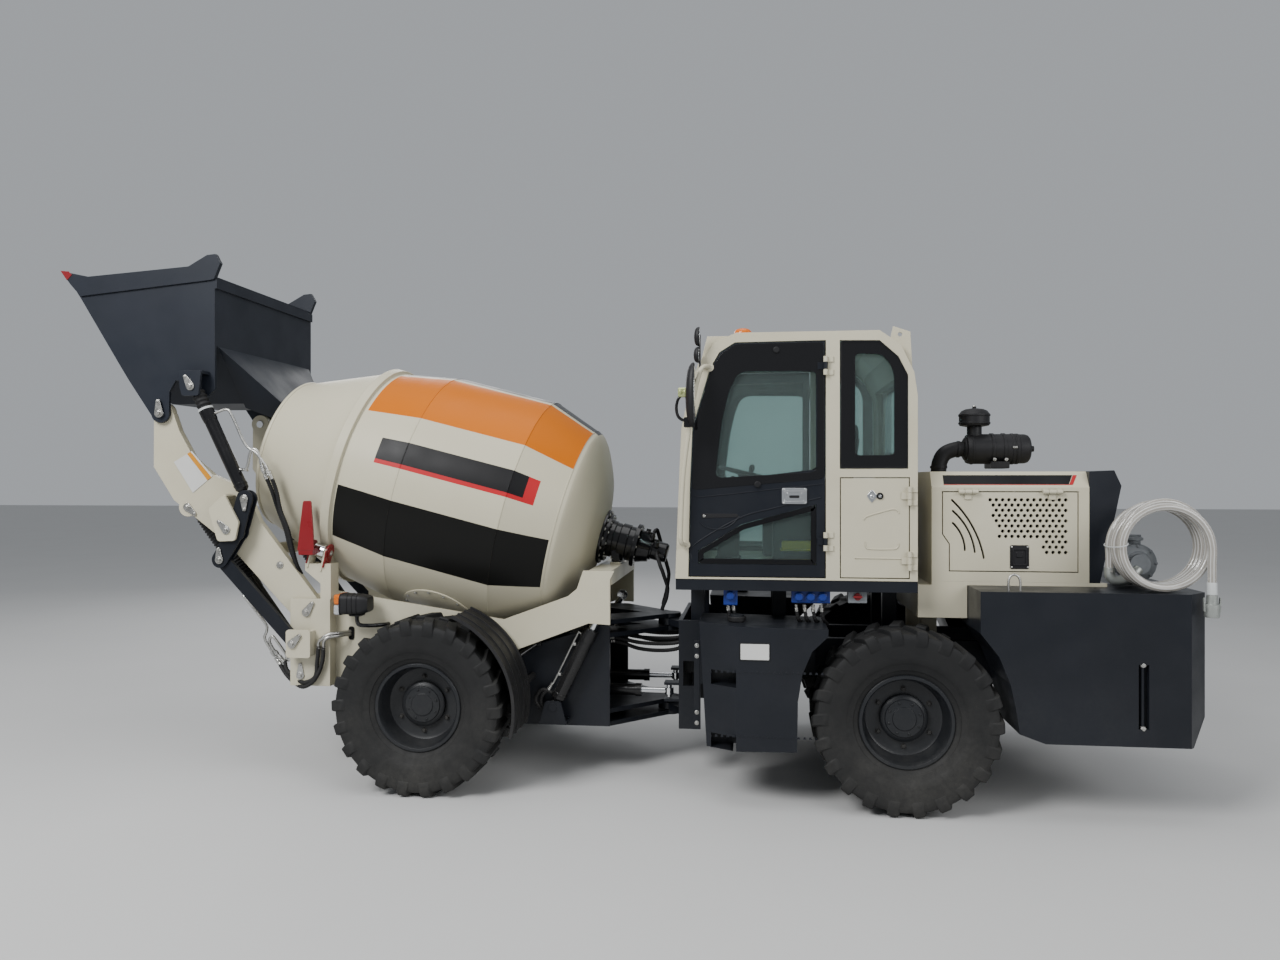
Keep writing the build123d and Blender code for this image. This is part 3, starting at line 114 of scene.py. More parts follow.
def smooth_line(corners, count=8):
    """A Catmull-Rom line through the corners: each stretch is a cubic of the two corners and their neighbours."""
    p = np.array(corners, float)
    p = np.vstack([2 * p[0] - p[1], p, 2 * p[-1] - p[-2]])
    t = np.linspace(0, 1, count, endpoint=False)[None, :, None]
    a, b, c, d = p[:-3, None], p[1:-2, None], p[2:-1, None], p[3:, None]
    line = 0.5 * (2 * b + (c - a) * t + (2 * a - 5 * b + 4 * c - d) * t ** 2 + (3 * b - a - 3 * c + d) * t ** 3)
    return np.vstack([line.reshape(-1, 3), p[-2]])


def carried(line, radius, sides=12, ripple=0.0, turns=0.0):
    """A circle carried along a line: line + radius * (cos a * n + sin a * b), n and b square to the line's own way.
    A ripple adds ripple * cos(a + 2 pi * turns * share) to the radius, as a spiral sleeve has."""
    line = np.array(line, float)
    way = np.gradient(line, axis=0)
    way /= np.linalg.norm(way, axis=1)[:, None]
    helpers = np.array([(1, 0, 0), (0, 1, 0), (0, 0, 1), (1, 1, 0), (0, 1, 1), (1, 0, 1), (1, -1, 0)], float)
    helpers /= np.linalg.norm(helpers, axis=1)[:, None]
    helper = helpers[np.argmin(np.abs(way @ helpers.T).max(0))]
    n = np.cross(way, helper)
    n /= np.linalg.norm(n, axis=1)[:, None]
    b = np.cross(way, n)
    a = even(sides)[None, :, None]
    share = np.linspace(0, 1, len(line))[:, None, None]
    radius = np.broadcast_to(np.array(radius, float).reshape(-1, 1, 1), (len(line), 1, 1))
    reach = radius + ripple * np.cos(a + turns * 2 * pi * share)
    return rings(line[:, None] + reach * (np.cos(a) * n[:, None] + np.sin(a) * b[:, None]))


def pipe(corners, radius, sides, count=10, ripple=0.0, turns=0.0):
    """A circle carried along a smooth line through some corners."""
    return carried(smooth_line(corners, count), radius, sides, ripple, turns)


def eased(corners, radius, steps=5):
    """An outline with its corners rounded: each corner is a quadratic curve between two points near it."""
    p = np.array(corners, float)
    back, ahead = np.roll(p, 1, 0) - p, np.roll(p, -1, 0) - p
    long_back, long_ahead = np.linalg.norm(back, axis=1)[:, None], np.linalg.norm(ahead, axis=1)[:, None]
    start = p + back * np.minimum(radius / long_back, 0.45)
    end = p + ahead * np.minimum(radius / long_ahead, 0.45)
    t = np.linspace(0, 1, steps)[None, :, None]
    return ((1 - t) ** 2 * start[:, None] + 2 * t * (1 - t) * p[:, None] + t ** 2 * end[:, None]).reshape(-1, 2)


def inset(outline, amount):
    """An outline moved inwards: each corner goes along its two edges' normals, added and over 1 + their product."""
    p = np.array(outline, float)
    edge = np.roll(p, -1, 0) - p
    edge /= np.maximum(np.linalg.norm(edge, axis=1), 1e-9)[:, None]
    normal = np.stack([-edge[:, 1], edge[:, 0]], -1)
    area = np.sum(p[:, 0] * np.roll(p[:, 1], -1) - np.roll(p[:, 0], -1) * p[:, 1])
    before = np.roll(normal, 1, 0)
    mitre = (normal + before) / np.maximum(1 + np.sum(normal * before, 1), 0.2)[:, None]
    return p + np.sign(area) * amount * mitre


def sheet_of(outline, low, high, axis="y", edge=2.0):
    """A flat outline given a thickness along an axis: four rings, the end ones inset by the chamfer."""
    outline = np.array(outline, float)
    inner = inset(outline, edge)
    layers = [(inner, low), (outline, low + edge), (outline, high - edge), (inner, high)]
    order = {"x": (2, 0, 1), "y": (0, 2, 1), "z": (0, 1, 2)}[axis]
    stacked = np.stack([np.column_stack([flat, np.full(len(flat), level)]) for flat, level in layers])
    return rings(stacked[..., order])


def box_of(low, high, edge=2.0):
    """A box with chamfered edges between two corners."""
    (x0, y0, z0), (x1, y1, z1) = low, high
    return sheet_of([(x0, y0), (x1, y0), (x1, y1), (x0, y1)], z0, z1, "z", edge)


def mirrored(shape):
    """A shape on the other side of the machine: y becomes -y."""
    points, faces = shape
    return points * (1, -1, 1), faces


def both(*shapes):
    """Shapes and their images across the middle of the machine."""
    return [*shapes, *(mirrored(shape) for shape in shapes)]


def spread(shape, offsets):
    """A shape repeated at many offsets: its points plus each offset, its corner numbers plus each copy's start."""
    points, faces = shape
    offsets = np.array(offsets, float).reshape(-1, 1, 3)
    starts = (np.arange(len(offsets)) * len(points))[:, None, None]
    moved = (np.array(points)[None] + offsets).reshape(-1, 3)
    return moved, [(face[None] + starts).reshape(-1, face.shape[1]) for face in faces]


def bolt(centre, way, radius=12.0, head=9.0):
    """A hexagon head on its washer: a six-sided chamfered prism over a thin round disc."""
    top = unit(way)
    start = np.array(centre, float)
    disc = turned([(0, radius * 1.5), (2.5, radius * 1.5)], start, top, 20)
    hexagon = turned([(2.5, radius), (head - 2, radius), (head, radius * 0.8)], start, top, 6)
    return [disc, hexagon]


def bolts(centres, way, radius=12.0, head=9.0):
    """A hexagon head at each of some places."""
    return [shape for centre in centres for shape in bolt(centre, way, radius, head)]


def keeper(centre, toward, y, size=46.0, thick=8.0):
    """A pin's keeper: a wide circle drawn out to a narrow one, with a large and a small bolt head."""
    cx, cz = centre
    way = unit((toward[0] - cx, toward[1] - cz))
    side = np.array([-way[1], way[0]])
    reach = size * 1.55
    a = np.linspace(pi / 2, 3 * pi / 2, 13)[:, None]
    b = np.linspace(-pi / 2, pi / 2, 9)[:, None]
    round_end = size * 0.62 * (np.cos(a) * way + np.sin(a) * side)
    narrow_end = way * reach + size * 0.3 * (np.cos(b) * way + np.sin(b) * side)
    outline = np.array([cx, cz]) + np.vstack([round_end, narrow_end])
    out = np.sign(y)
    low, high = sorted((y, y + out * thick))
    plate = sheet_of(outline, low, high, "y", 1.5)
    face = y + out * thick
    big = bolt((cx, face, cz), (0, out, 0), size * 0.32, 14)
    small_at = np.array([cx, cz]) + way * reach
    small = bolt((small_at[0], face, small_at[1]), (0, out, 0), size * 0.17, 8)
    return [plate, *big, *small]


def loop_points(outline, count=120):
    """A closed outline walked at even steps: count points at equal shares of its length, from its first corner."""
    p = np.vstack([outline, outline[:1]]).astype(float)
    reach = np.concatenate([[0], np.cumsum(np.linalg.norm(np.diff(p, axis=0), axis=1))])
    spots = np.linspace(0, reach[-1], count, endpoint=False)
    return np.column_stack([np.interp(spots, reach, p[:, k]) for k in (0, 1)])


def frame_of(outer, inner, low, high, axis="y"):
    """A flat ring between two outlines of as many points: its four-cornered section is carried round and closed."""
    order = {"x": (2, 0, 1), "y": (0, 2, 1), "z": (0, 1, 2)}[axis]
    corners = [(outer, low), (inner, low), (inner, high), (outer, high)]
    stacked = np.stack([np.column_stack([flat, np.full(len(flat), level)]) for flat, level in corners], 1)
    return rings(stacked[..., order], True)


def rounded(corners, radius, count=120):
    """A closed outline with rounded corners, walked at even steps."""
    return loop_points(eased(corners, radius), count)


def seal(outline, width, low, high, round_off=20.0):
    """A strip that follows an opening's edge: a ring from the rounded outline to the same one moved in."""
    outer = loop_points(eased(outline, round_off), 160)
    return frame_of(outer, inset(outer, width), low, high)


def laid(outline, origin, along, up, thick=2.0, edge=0.4):
    """A plate on a slanted face: origin + u * along + v * up, raised by its thickness along their cross product."""
    flat, faces = sheet_of(outline, -0.5, thick, "z", edge)
    along, up = unit(along), unit(up)
    out = np.cross(along, up)
    return np.array(origin, float) + flat[:, :1] * along + flat[:, 1:2] * up + flat[:, 2:] * out, faces


def oblong(width, height, radius=8.0):
    """A rounded rectangle about the origin."""
    x, z = width / 2, height / 2
    return eased([(-x, -z), (x, -z), (x, z), (-x, z)], radius)


def oblong_tile(middle, size, low, high, edge):
    """A plate with a rounded rectangle's outline."""
    return sheet_of(oblong(*size) + middle, low, high, "y", edge)


def oblong_ring(middle, outer, inner, low, high):
    """A flat ring between two rounded rectangles."""
    return frame_of(loop_points(oblong(*outer) + middle), loop_points(oblong(*inner) + middle), low, high)


def cushion(centre, half, lean, channels=(), piping=0.0):
    """A stuffed pad: a rounded box (sine and cosine to small powers) whose sides pull in between the corners, and
    whose top sinks along its sewn channels, leaned about the machine's width."""
    u = even(128)[None, :]
    v = np.radians(np.concatenate([[-88], np.linspace(-80, 80, 45), [88]]))[:, None]
    power = lambda value, share: np.sign(value) * np.abs(value) ** share
    pull = 1 - 0.03 * np.cos(u * 2) ** 2
    x = half[0] * power(np.cos(v), 0.34) * power(np.cos(u), 0.4) * pull
    y = half[1] * power(np.cos(v), 0.34) * power(np.sin(u), 0.4) * pull
    z = half[2] * power(np.sin(v), 0.75) * (1 - 0.22 * (x / half[0]) ** 2 - 0.16 * (y / half[1]) ** 2)
    sunk = sum(9.0 * np.exp(-((x - spot) / 6.0) ** 2) for spot in channels) * (z > 0) if channels else 0.0
    ridge = piping * np.exp(-(v / 0.05) ** 2)
    stretch = 1 + ridge / half[0]
    x, y, z = x * stretch, y * stretch, z - sunk
    turned_x, turned_z = x * cos(lean) - z * sin(lean), x * sin(lean) + z * cos(lean)
    return rings(np.stack([turned_x, y, turned_z], -1) + np.array(centre, float))


def hose(corners, radius=13.0, ripple=1.1, pitch=16.0):
    """A hose through some corners: a smooth line with a circle carried along it, rippled by its spiral sleeve."""
    line = smooth_line(corners, 14)
    length = np.sum(np.linalg.norm(np.diff(line, axis=0), axis=1))
    count = int(max(len(line), length / pitch * 5)) if ripple else len(line)
    reach = np.concatenate([[0], np.cumsum(np.linalg.norm(np.diff(line, axis=0), axis=1))])
    spots = np.linspace(0, reach[-1], count)
    steps = np.column_stack([np.interp(spots, reach, line[:, k]) for k in range(3)])
    return carried(steps, radius, 12, ripple, length / pitch)


def fitting(start, end, radius=12.0):
    """A hose fitting between two points: hexagon nut, neck, crimped ferrule with two grooves."""
    start, end = np.array(start, float), np.array(end, float)
    length = np.linalg.norm(end - start)
    profile = np.array([(0, 0.75), (0, 1.0), (0.28, 1.0), (0.3, 0.7), (0.42, 0.7), (0.44, 1.02), (0.58, 1.08),
        (0.6, 0.98), (0.63, 0.98), (0.65, 1.08), (0.78, 1.08), (0.8, 0.98), (0.83, 0.98), (0.85, 1.08),
        (0.99, 1.08), (1.0, 0.85)])
    nut = turned([(0, radius), (length * 0.28, radius)], start, end - start, 6)
    return [turned(profile * (length, radius * 0.98), start, end - start, 24), nut]


def build(name, shapes, material, body="rear_module", replaces=None, angle=32, attributes=None):
    """One mesh piece from shapes: points put in place, faces numbered on, normals turned outwards. It rides on
    a body, or on none where it runs between two."""
    counts = np.cumsum([0] + [len(points) for points, _ in shapes])
    points = place(np.vstack([np.array(p, float) for p, _ in shapes]))
    faces = [face + start for (_, group), start in zip(shapes, counts) for face in group]
    corners = np.concatenate([face.ravel() for face in faces])
    sizes = np.concatenate([np.full(len(face), face.shape[1]) for face in faces])
    mesh = bpy.data.meshes.new(name)
    mesh.vertices.add(len(points))
    mesh.vertices.foreach_set("co", points.astype(np.float32).ravel())
    mesh.loops.add(len(corners))
    mesh.loops.foreach_set("vertex_index", corners.astype(np.int32))
    mesh.polygons.add(len(sizes))
    mesh.polygons.foreach_set("loop_start", np.concatenate([[0], np.cumsum(sizes)[:-1]]).astype(np.int32))
    mesh.update(calc_edges=True)
    for label, values in (attributes or {}).items():
        layer = mesh.attributes.new(label, "FLOAT_VECTOR", "POINT")
        layer.data.foreach_set("vector", np.array(values, np.float32).ravel())
    work = bmesh.new()
    work.from_mesh(mesh)
    bmesh.ops.recalc_face_normals(work, faces=work.faces)
    work.to_mesh(mesh)
    work.free()
    mesh.polygons.foreach_set("use_smooth", np.ones(len(mesh.polygons), bool))
    mesh.set_sharp_from_angle(angle=radians(angle))
    obj = bpy.data.objects.new(name, mesh)
    bpy.context.collection.objects.link(obj)
    mesh.materials.append(material)
    if body:
        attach(obj, body)
    if replaces:
        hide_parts(replaces)
    return obj


# Shader nodes, and the groups that several finishes share
VECTOR, FLOAT, COLOUR = "NodeSocketVector", "NodeSocketFloat", "NodeSocketColor"


def set_inputs(tree, node, inputs):
    """Inputs by name or number: a number or a colour is set, a socket is linked, a node gives its first output."""
    for key, value in inputs.items():
        if isinstance(value, bpy.types.Node):
            value = value.outputs[0]
        if isinstance(value, bpy.types.NodeSocket):
            tree.links.new(value, node.inputs[key])
        else:
            node.inputs[key].default_value = (*value, 1) if isinstance(value, tuple) and len(value) == 3 else value
    return node


def add(tree, kind, inputs=None, **settings):
    """A node with its settings and its inputs."""
    node = tree.nodes.new("ShaderNode" + kind)
    for key, value in settings.items():
        setattr(node, key, value)
    return set_inputs(tree, node, inputs or {})


def noise(tree, where, scale, detail, roughness):
    """Cloudy noise at a place."""
    return add(tree, "TexNoise", {"Vector": where, "Scale": scale, "Detail": detail, "Roughness": roughness})


def remap(tree, value, low, high, to_low=0.0, to_high=1.0):
    """A value between two limits moved to between two others, and held there."""
    return add(tree, "MapRange", {0: value, 1: low, 2: high, 3: to_low, 4: to_high})


def mix(tree, share, first, second):
    """A colour between two colours by a share."""
    return add(tree, "Mix", {0: share, 6: first, 7: second}, data_type="RGBA").outputs[2]


def reckon(tree, operation, *values, clamp=False):
    """One sum on values."""
    return add(tree, "Math", dict(enumerate(values)), operation=operation, use_clamp=clamp)


def new_group(name, inputs, outputs):
    """A node group: inputs by name and first value (None for a place), outputs by name and kind."""
    group = bpy.data.node_groups.new(name, "ShaderNodeTree")
    for label, value in inputs.items():
        kind = VECTOR if value is None else COLOUR if isinstance(value, tuple) else FLOAT
        socket = group.interface.new_socket(name=label, in_out="INPUT", socket_type=kind)
        if value is not None:
            socket.default_value = value
    for label, kind in outputs.items():
        group.interface.new_socket(name=label, in_out="OUTPUT", socket_type=kind)
    return group, group.nodes.new("NodeGroupInput").outputs, group.nodes.new("NodeGroupOutput")


def make_road_dust():
    """Dust over a paint: cloudy noise, stronger low down and on faces that look up, mixed over the paint."""
    group, given, result = new_group("road_dust", {"Place": None, "Paint": (0.5, 0.5, 0.5, 1),
        "Dust": (0.42, 0.38, 0.31, 1), "Amount": 0.3, "Reach": 1.2}, {"Color": COLOUR, "Mask": FLOAT})
    height = add(group, "SeparateXYZ", {0: given["Place"]}).outputs[2]
    facing_up = add(group, "SeparateXYZ", {0: add(group, "NewGeometry").outputs["Normal"]}).outputs[2]
    lying = reckon(group, "ADD", remap(group, height, given["Reach"], 0.15),
        remap(group, facing_up, 0.55, 1.0, 0.0, 0.55))
    clouds = remap(group, noise(group, given["Place"], 2.6, 6.0, 0.62), 0.38, 0.72, 0.25, 1.0)
    specks = remap(group, noise(group, given["Place"], 38.0, 4.0, 0.7), 0.3, 0.75, 0.55, 1.25)
    uneven = reckon(group, "MULTIPLY", reckon(group, "MULTIPLY", lying, clouds), specks)
    mask = reckon(group, "MULTIPLY", uneven, given["Amount"], clamp=True)
    set_inputs(group, result, {"Color": mix(group, mask, given["Paint"], given["Dust"]), "Mask": mask})
    return group


def make_worn_edge():
    """Softened corners and their wear: the normal over a small radius, and a mask where it leaves the true one."""
    group, given, result = new_group("worn_edge", {"Place": None, "Radius": 0.004, "Wear": 0.5},
        {"Normal": VECTOR, "Mask": FLOAT})
    soft = add(group, "Bevel", {"Radius": given["Radius"]}, samples=4)
    true = add(group, "NewGeometry").outputs["Normal"]
    alike = add(group, "VectorMath", {0: soft, 1: true}, operation="DOT_PRODUCT").outputs["Value"]
    chips = remap(group, noise(group, given["Place"], 55.0, 5.0, 0.7), 0.52, 0.6)
    worn = reckon(group, "MULTIPLY", remap(group, alike, 0.98, 0.8), chips)
    set_inputs(group, result, {"Normal": soft, "Mask": reckon(group, "MULTIPLY", worn, given["Wear"], clamp=True)})
    return group


def make_skin():
    """A sprayed or cast surface's skin: fine grain over slow waves, as a height, and a slow change of gloss."""
    group, given, result = new_group("surface_skin", {"Place": None, "Grain": 260.0, "Waves": 5.0, "Low Gloss": 0.3,
        "High Gloss": 0.45}, {"Height": FLOAT, "Roughness": FLOAT})
    grain = noise(group, given["Place"], given["Grain"], 2.0, 0.5)
    waves = noise(group, given["Place"], given["Waves"], 3.0, 0.5)
    gloss = remap(group, waves, 0.35, 0.65, given["Low Gloss"], given["High Gloss"])
    set_inputs(group, result, {"Height": reckon(group, "MULTIPLY_ADD", waves, 3.0, grain), "Roughness": gloss})
    return group


road_dust = make_road_dust()
worn_edge = make_worn_edge()
surface_skin = make_skin()
dust_colour = (0.3, 0.285, 0.25)


def new_material(name):
    """A material with its Principled shader and the object's own coordinates."""
    material = bpy.data.materials.new(name)
    material.use_nodes = True
    tree = material.node_tree
    return material, tree, tree.nodes["Principled BSDF"], add(tree, "TexCoord").outputs["Object"]


def finish(name, colour, gloss=(0.28, 0.42), metallic=0.0, coat=0.0, dust=0.35, reach=1.3, wear=0.4,
        under=(0.12, 0.12, 0.12), grain=260.0, waves=5.0, bump=0.0006, edge=0.003, tint=None, base=None,
        shine=0.35):
    """A sprayed, cast or moulded finish: tint patches, dust, worn edges over an under colour, grain and waves."""
    material, tree, shader, where = new_material(name)
    if base is None:
        patches = remap(tree, noise(tree, where, 1.7, 4.0, 0.6), 0.35, 0.7)
        paint = mix(tree, patches, colour, tint or tuple(c * 0.86 for c in colour))
    else:
        paint = base(tree, where)
    worn = add(tree, "Group", node_tree=worn_edge)
    set_inputs(tree, worn, {"Place": where, "Radius": edge, "Wear": wear})
    dusted = add(tree, "Group", node_tree=road_dust)
    set_inputs(tree, dusted, {"Place": where, "Paint": mix(tree, worn.outputs["Mask"], paint, under),
        "Amount": dust, "Reach": reach, "Dust": dust_colour})
    skin = add(tree, "Group", node_tree=surface_skin)
    set_inputs(tree, skin, {"Place": where, "Grain": grain, "Waves": waves, "Low Gloss": gloss[0],
        "High Gloss": gloss[1]})
    dull = reckon(tree, "MULTIPLY_ADD", dusted.outputs["Mask"], 0.5, skin.outputs["Roughness"], clamp=True)
    relief = add(tree, "Bump", {"Height": skin.outputs["Height"], "Normal": worn.outputs["Normal"], "Strength": 0.5,
        "Distance": bump})
    set_inputs(tree, shader, {"Base Color": dusted.outputs["Color"], "Roughness": dull, "Normal": relief,
        "Metallic": metallic, "Specular IOR Level": shine, "Coat Weight": coat, "Coat Roughness": 0.12})
    return material


cream, cream_tint = (0.52, 0.49, 0.375), (0.485, 0.45, 0.335)
cream_paint = finish("cream_paint", cream, coat=0.12, tint=cream_tint, wear=0.22, dust=0.16,
    under=(0.25, 0.2, 0.15))
charcoal_paint = finish("charcoal_paint", (0.0068, 0.0084, 0.0125), (0.3, 0.44), tint=(0.0095, 0.0115, 0.0165),
    dust=0.04, under=(0.05, 0.05, 0.05), shine=0.25)
bucket_paint = finish("bucket_paint", (0.0115, 0.0145, 0.0215), (0.4, 0.5), dust=0.03, reach=1.0,
    tint=(0.015, 0.0185, 0.027), wear=0.6, under=(0.09, 0.085, 0.08), shine=0.22)
gloss_black = finish("gloss_black", (0.006, 0.006, 0.007), (0.14, 0.26), dust=0.06, wear=0.2,
    under=(0.06, 0.06, 0.06), shine=0.4)
dark_plastic = finish("dark_plastic", (0.009, 0.009, 0.0105), (0.42, 0.58), dust=0.1, grain=700.0, bump=0.0004,
    wear=0.1, under=(0.04, 0.04, 0.04), shine=0.3)
black_iron = finish("black_iron", (0.012, 0.012, 0.013), (0.38, 0.6), dust=0.18, waves=12.0, bump=0.0012, wear=0.5,
    under=(0.1, 0.08, 0.06), shine=0.3)
zinc = finish("zinc_plate", (0.5, 0.5, 0.48), (0.24, 0.4), metallic=1.0, dust=0.12, wear=0.3,
    under=(0.35, 0.33, 0.3), tint=(0.4, 0.39, 0.36), grain=420.0, waves=30.0)
chrome = finish("rod_chrome", (0.78, 0.79, 0.8), (0.06, 0.14), metallic=1.0, dust=0.05, wear=0.05,
    tint=(0.72, 0.73, 0.74), bump=0.0001)
red_paint = finish("red_paint", (0.2, 0.009, 0.013), (0.25, 0.4), dust=0.08, wear=0.5, under=(0.16, 0.14, 0.12))
blue_paint = finish("blue_paint", (0.008, 0.026, 0.2), (0.3, 0.45), dust=0.1, wear=0.3)
rubber = finish("hose_rubber", (0.008, 0.008, 0.009), (0.5, 0.7), dust=0.1, grain=520.0, bump=0.0008, wear=0.0,
    shine=0.3)
tyre_rubber = finish("tyre_rubber", (0.0085, 0.009, 0.0098), (0.58, 0.76), dust=0.1, reach=1.0, grain=180.0,
    waves=14.0, bump=0.0016, wear=0.3, under=(0.03, 0.029, 0.028), edge=0.006, tint=(0.0125, 0.0127, 0.013),
    shine=0.25)
rim_paint = finish("rim_paint", (0.008, 0.0095, 0.0125), (0.28, 0.44), dust=0.08, reach=1.0, wear=0.3,
    under=(0.05, 0.045, 0.04))
cast_aluminium = finish("cast_aluminium", (0.36, 0.38, 0.36), (0.38, 0.58), metallic=0.7, dust=0.12, grain=150.0,
    waves=40.0, bump=0.0015, wear=0.3, under=(0.55, 0.55, 0.53))
grey_iron = finish("grey_iron", (0.2, 0.215, 0.23), (0.4, 0.56), metallic=0.3, dust=0.12, grain=150.0, waves=40.0,
    bump=0.0015, wear=0.3)
seat_vinyl = finish("seat_vinyl", (0.009, 0.009, 0.0095), (0.45, 0.6), dust=0.05, grain=430.0, waves=22.0,
    bump=0.0012, wear=0.0, edge=0.001, shine=0.3)
pale_trim = finish("pale_trim", (0.5, 0.52, 0.52), (0.4, 0.55), dust=0.05, grain=600.0, wear=0.0)
yellow_plastic = finish("yellow_plastic", (0.75, 0.62, 0.02), (0.35, 0.5), dust=0.06, grain=600.0, wear=0.05)
label_white = finish("plate_white", (0.62, 0.62, 0.6), (0.3, 0.42), dust=0.06, grain=500.0, bump=0.0002, wear=0.1,
    under=(0.3, 0.3, 0.3))
label_red = finish("strip_red", (0.42, 0.02, 0.025), (0.28, 0.4), dust=0.06, bump=0.0002, wear=0.1)
label_amber = finish("strip_amber", (0.62, 0.26, 0.02), (0.28, 0.4), dust=0.06, bump=0.0002, wear=0.1)
label_black = finish("strip_black", (0.008, 0.008, 0.009), (0.3, 0.42), dust=0.06, bump=0.0002, wear=0.05,
    shine=0.3)
glass_border = finish("glass_border", (0.006, 0.006, 0.007), (0.03, 0.07), dust=0.03, bump=0.00005, wear=0.0,
    shine=0.4)
# A near-black matte finish that is painted shade: it stands in for the shade inside openings, behind the hood
# grilles and in the hose slots.
painted_shade_black = finish("painted_shade_black", (0.004, 0.004, 0.004), (0.7, 0.85), dust=0.05, wear=0.0, shine=0.15)
clamp_zinc = finish("clamp_zinc", (0.56, 0.6, 0.3), (0.3, 0.42), metallic=0.8, dust=0.05, wear=0.2,
    tint=(0.45, 0.52, 0.22))
mirror_glass = finish("mirror_glass", (0.8, 0.82, 0.83), (0.02, 0.05), metallic=1.0, dust=0.04, wear=0.0,
    bump=0.00005)


def plain_glass(name, colour, roughness, transmission):
    """Glass with a faint film: cloudy noise moves its roughness a little, and its tint is in the colour."""
    material, tree, shader, where = new_material(name)
    film = noise(tree, where, 4.0, 5.0, 0.6)
    set_inputs(tree, shader, {"Roughness": remap(tree, film, 0.35, 0.75, roughness, roughness + 0.06),
        "Base Color": mix(tree, film, colour, tuple(c * 0.9 for c in colour)), "Transmission Weight": transmission,
        "IOR": 1.45})
    return material


tinted_glass = plain_glass("tinted_glass", (0.62, 0.8, 0.77), 0.01, 0.96)
amber_lens = plain_glass("amber_lens", (0.85, 0.2, 0.015), 0.12, 0.35)
red_lens = plain_glass("red_lens", (0.5, 0.01, 0.012), 0.12, 0.35)
clear_lens = plain_glass("clear_lens", (0.85, 0.87, 0.9), 0.08, 0.6)

# Each band: degrees down from the drum's top, stations along its axis, colour; a later one lies over an earlier one
drum_bands = [((15, 53), (215, 1628), (0.5, 0.125, 0.0)), ((-1, 11.5), (185, 1605), (0.05, 0.052, 0.056)),
    ((93.5, 121), (228, 1640), (0.007, 0.007, 0.0065)), ((66.5, 79), (372, 1437), (0.42, 0.014, 0.02)),
    ((66.5, 77), (444, 1437), (0.006, 0.006, 0.007))]


def within(tree, value, low, high):
    """1 between two values and 0 outside: greater than the low one times less than the high one."""
    return reckon(tree, "MULTIPLY", reckon(tree, "GREATER_THAN", value, low), reckon(tree, "LESS_THAN", value,
        high))


def drum_colours(tree, where):
    """The drum's bands by the attribute drum_place: degrees down from its top, and the station along its axis."""
    spot = add(tree, "Attribute", attribute_name="drum_place").outputs["Vector"]
    turn, station, _ = add(tree, "SeparateXYZ", {0: spot}).outputs
    colour = mix(tree, noise(tree, where, 1.7, 4.0, 0.6), cream, cream_tint)
    for turns, stations, paint in drum_bands:
        inside = reckon(tree, "MULTIPLY", within(tree, turn, *turns), within(tree, station, *stations))
        colour = mix(tree, inside, colour, paint)
    return colour


drum_paint = finish("drum_paint", cream, (0.3, 0.4), base=drum_colours, wear=0.15, dust=0.1, reach=1.0,
    under=(0.2, 0.16, 0.12), shine=0.14)

# Camera, floor and light
camera_data = bpy.data.cameras.new("camera")
camera_data.lens, camera_data.sensor_width = 26.7, 36.0
camera = bpy.data.objects.new("camera", camera_data)
camera.location = (1.08, -6.56, 1.924)
camera.rotation_euler = (radians(90), 0, radians(7.0))
bpy.context.collection.objects.link(camera)
bpy.context.scene.camera = camera

floor_half = 60
floor_corners = [(x * floor_half, y * floor_half, 0) for x, y in ((-1, -1), (1, -1), (1, 1), (-1, 1))]
floor_mesh = bpy.data.meshes.new("floor")
floor_mesh.from_pydata(floor_corners, [], [(0, 1, 2, 3)])
floor = bpy.data.objects.new("floor", floor_mesh)
bpy.context.collection.objects.link(floor)
floor_finish, tree, shader, where = new_material("floor_pale")
floor_tone = mix(tree, noise(tree, where, 0.8, 4.0, 0.5), (0.5, 0.5, 0.495), (0.54, 0.54, 0.535))
set_inputs(tree, shader, {"Base Color": floor_tone, "Roughness": 0.85})
floor_mesh.materials.append(floor_finish)

world = bpy.data.worlds.new("studio")
world.use_nodes = True
set_inputs(world.node_tree, world.node_tree.nodes["Background"], {0: (0.86, 0.9, 0.95), 1: 0.45})
bpy.context.scene.world = world

lights = [("key", (-5.0, -8.0, 8.5), (1.0, 0.0, 1.2), 5.0, 1350.0), ("fill", (8.0, -7.0, 5.0), (0.5, 0.0, 1.0), 6.0,
    420.0), ("top", (0.5, -1.0, 9.0), (0.5, 0.0, 1.0), 7.0, 260.0), ("back", (-4.5, 9.0, 6.0), (0.5, 0.0, 1.0), 6.0,
    260.0)]
for name, spot, aim, size, power in lights:
    data = bpy.data.lights.new(name, "AREA")
    data.shape, data.size, data.energy = "DISK", size, power
    lamp = bpy.data.objects.new(name, data)
    lamp.location = spot
    away = np.array(spot) - np.array(aim)
    lamp.rotation_euler = (np.arctan2(np.hypot(away[0], away[1]), away[2]), 0,
        np.arctan2(away[1], away[0]) + pi / 2)
    bpy.context.collection.objects.link(lamp)

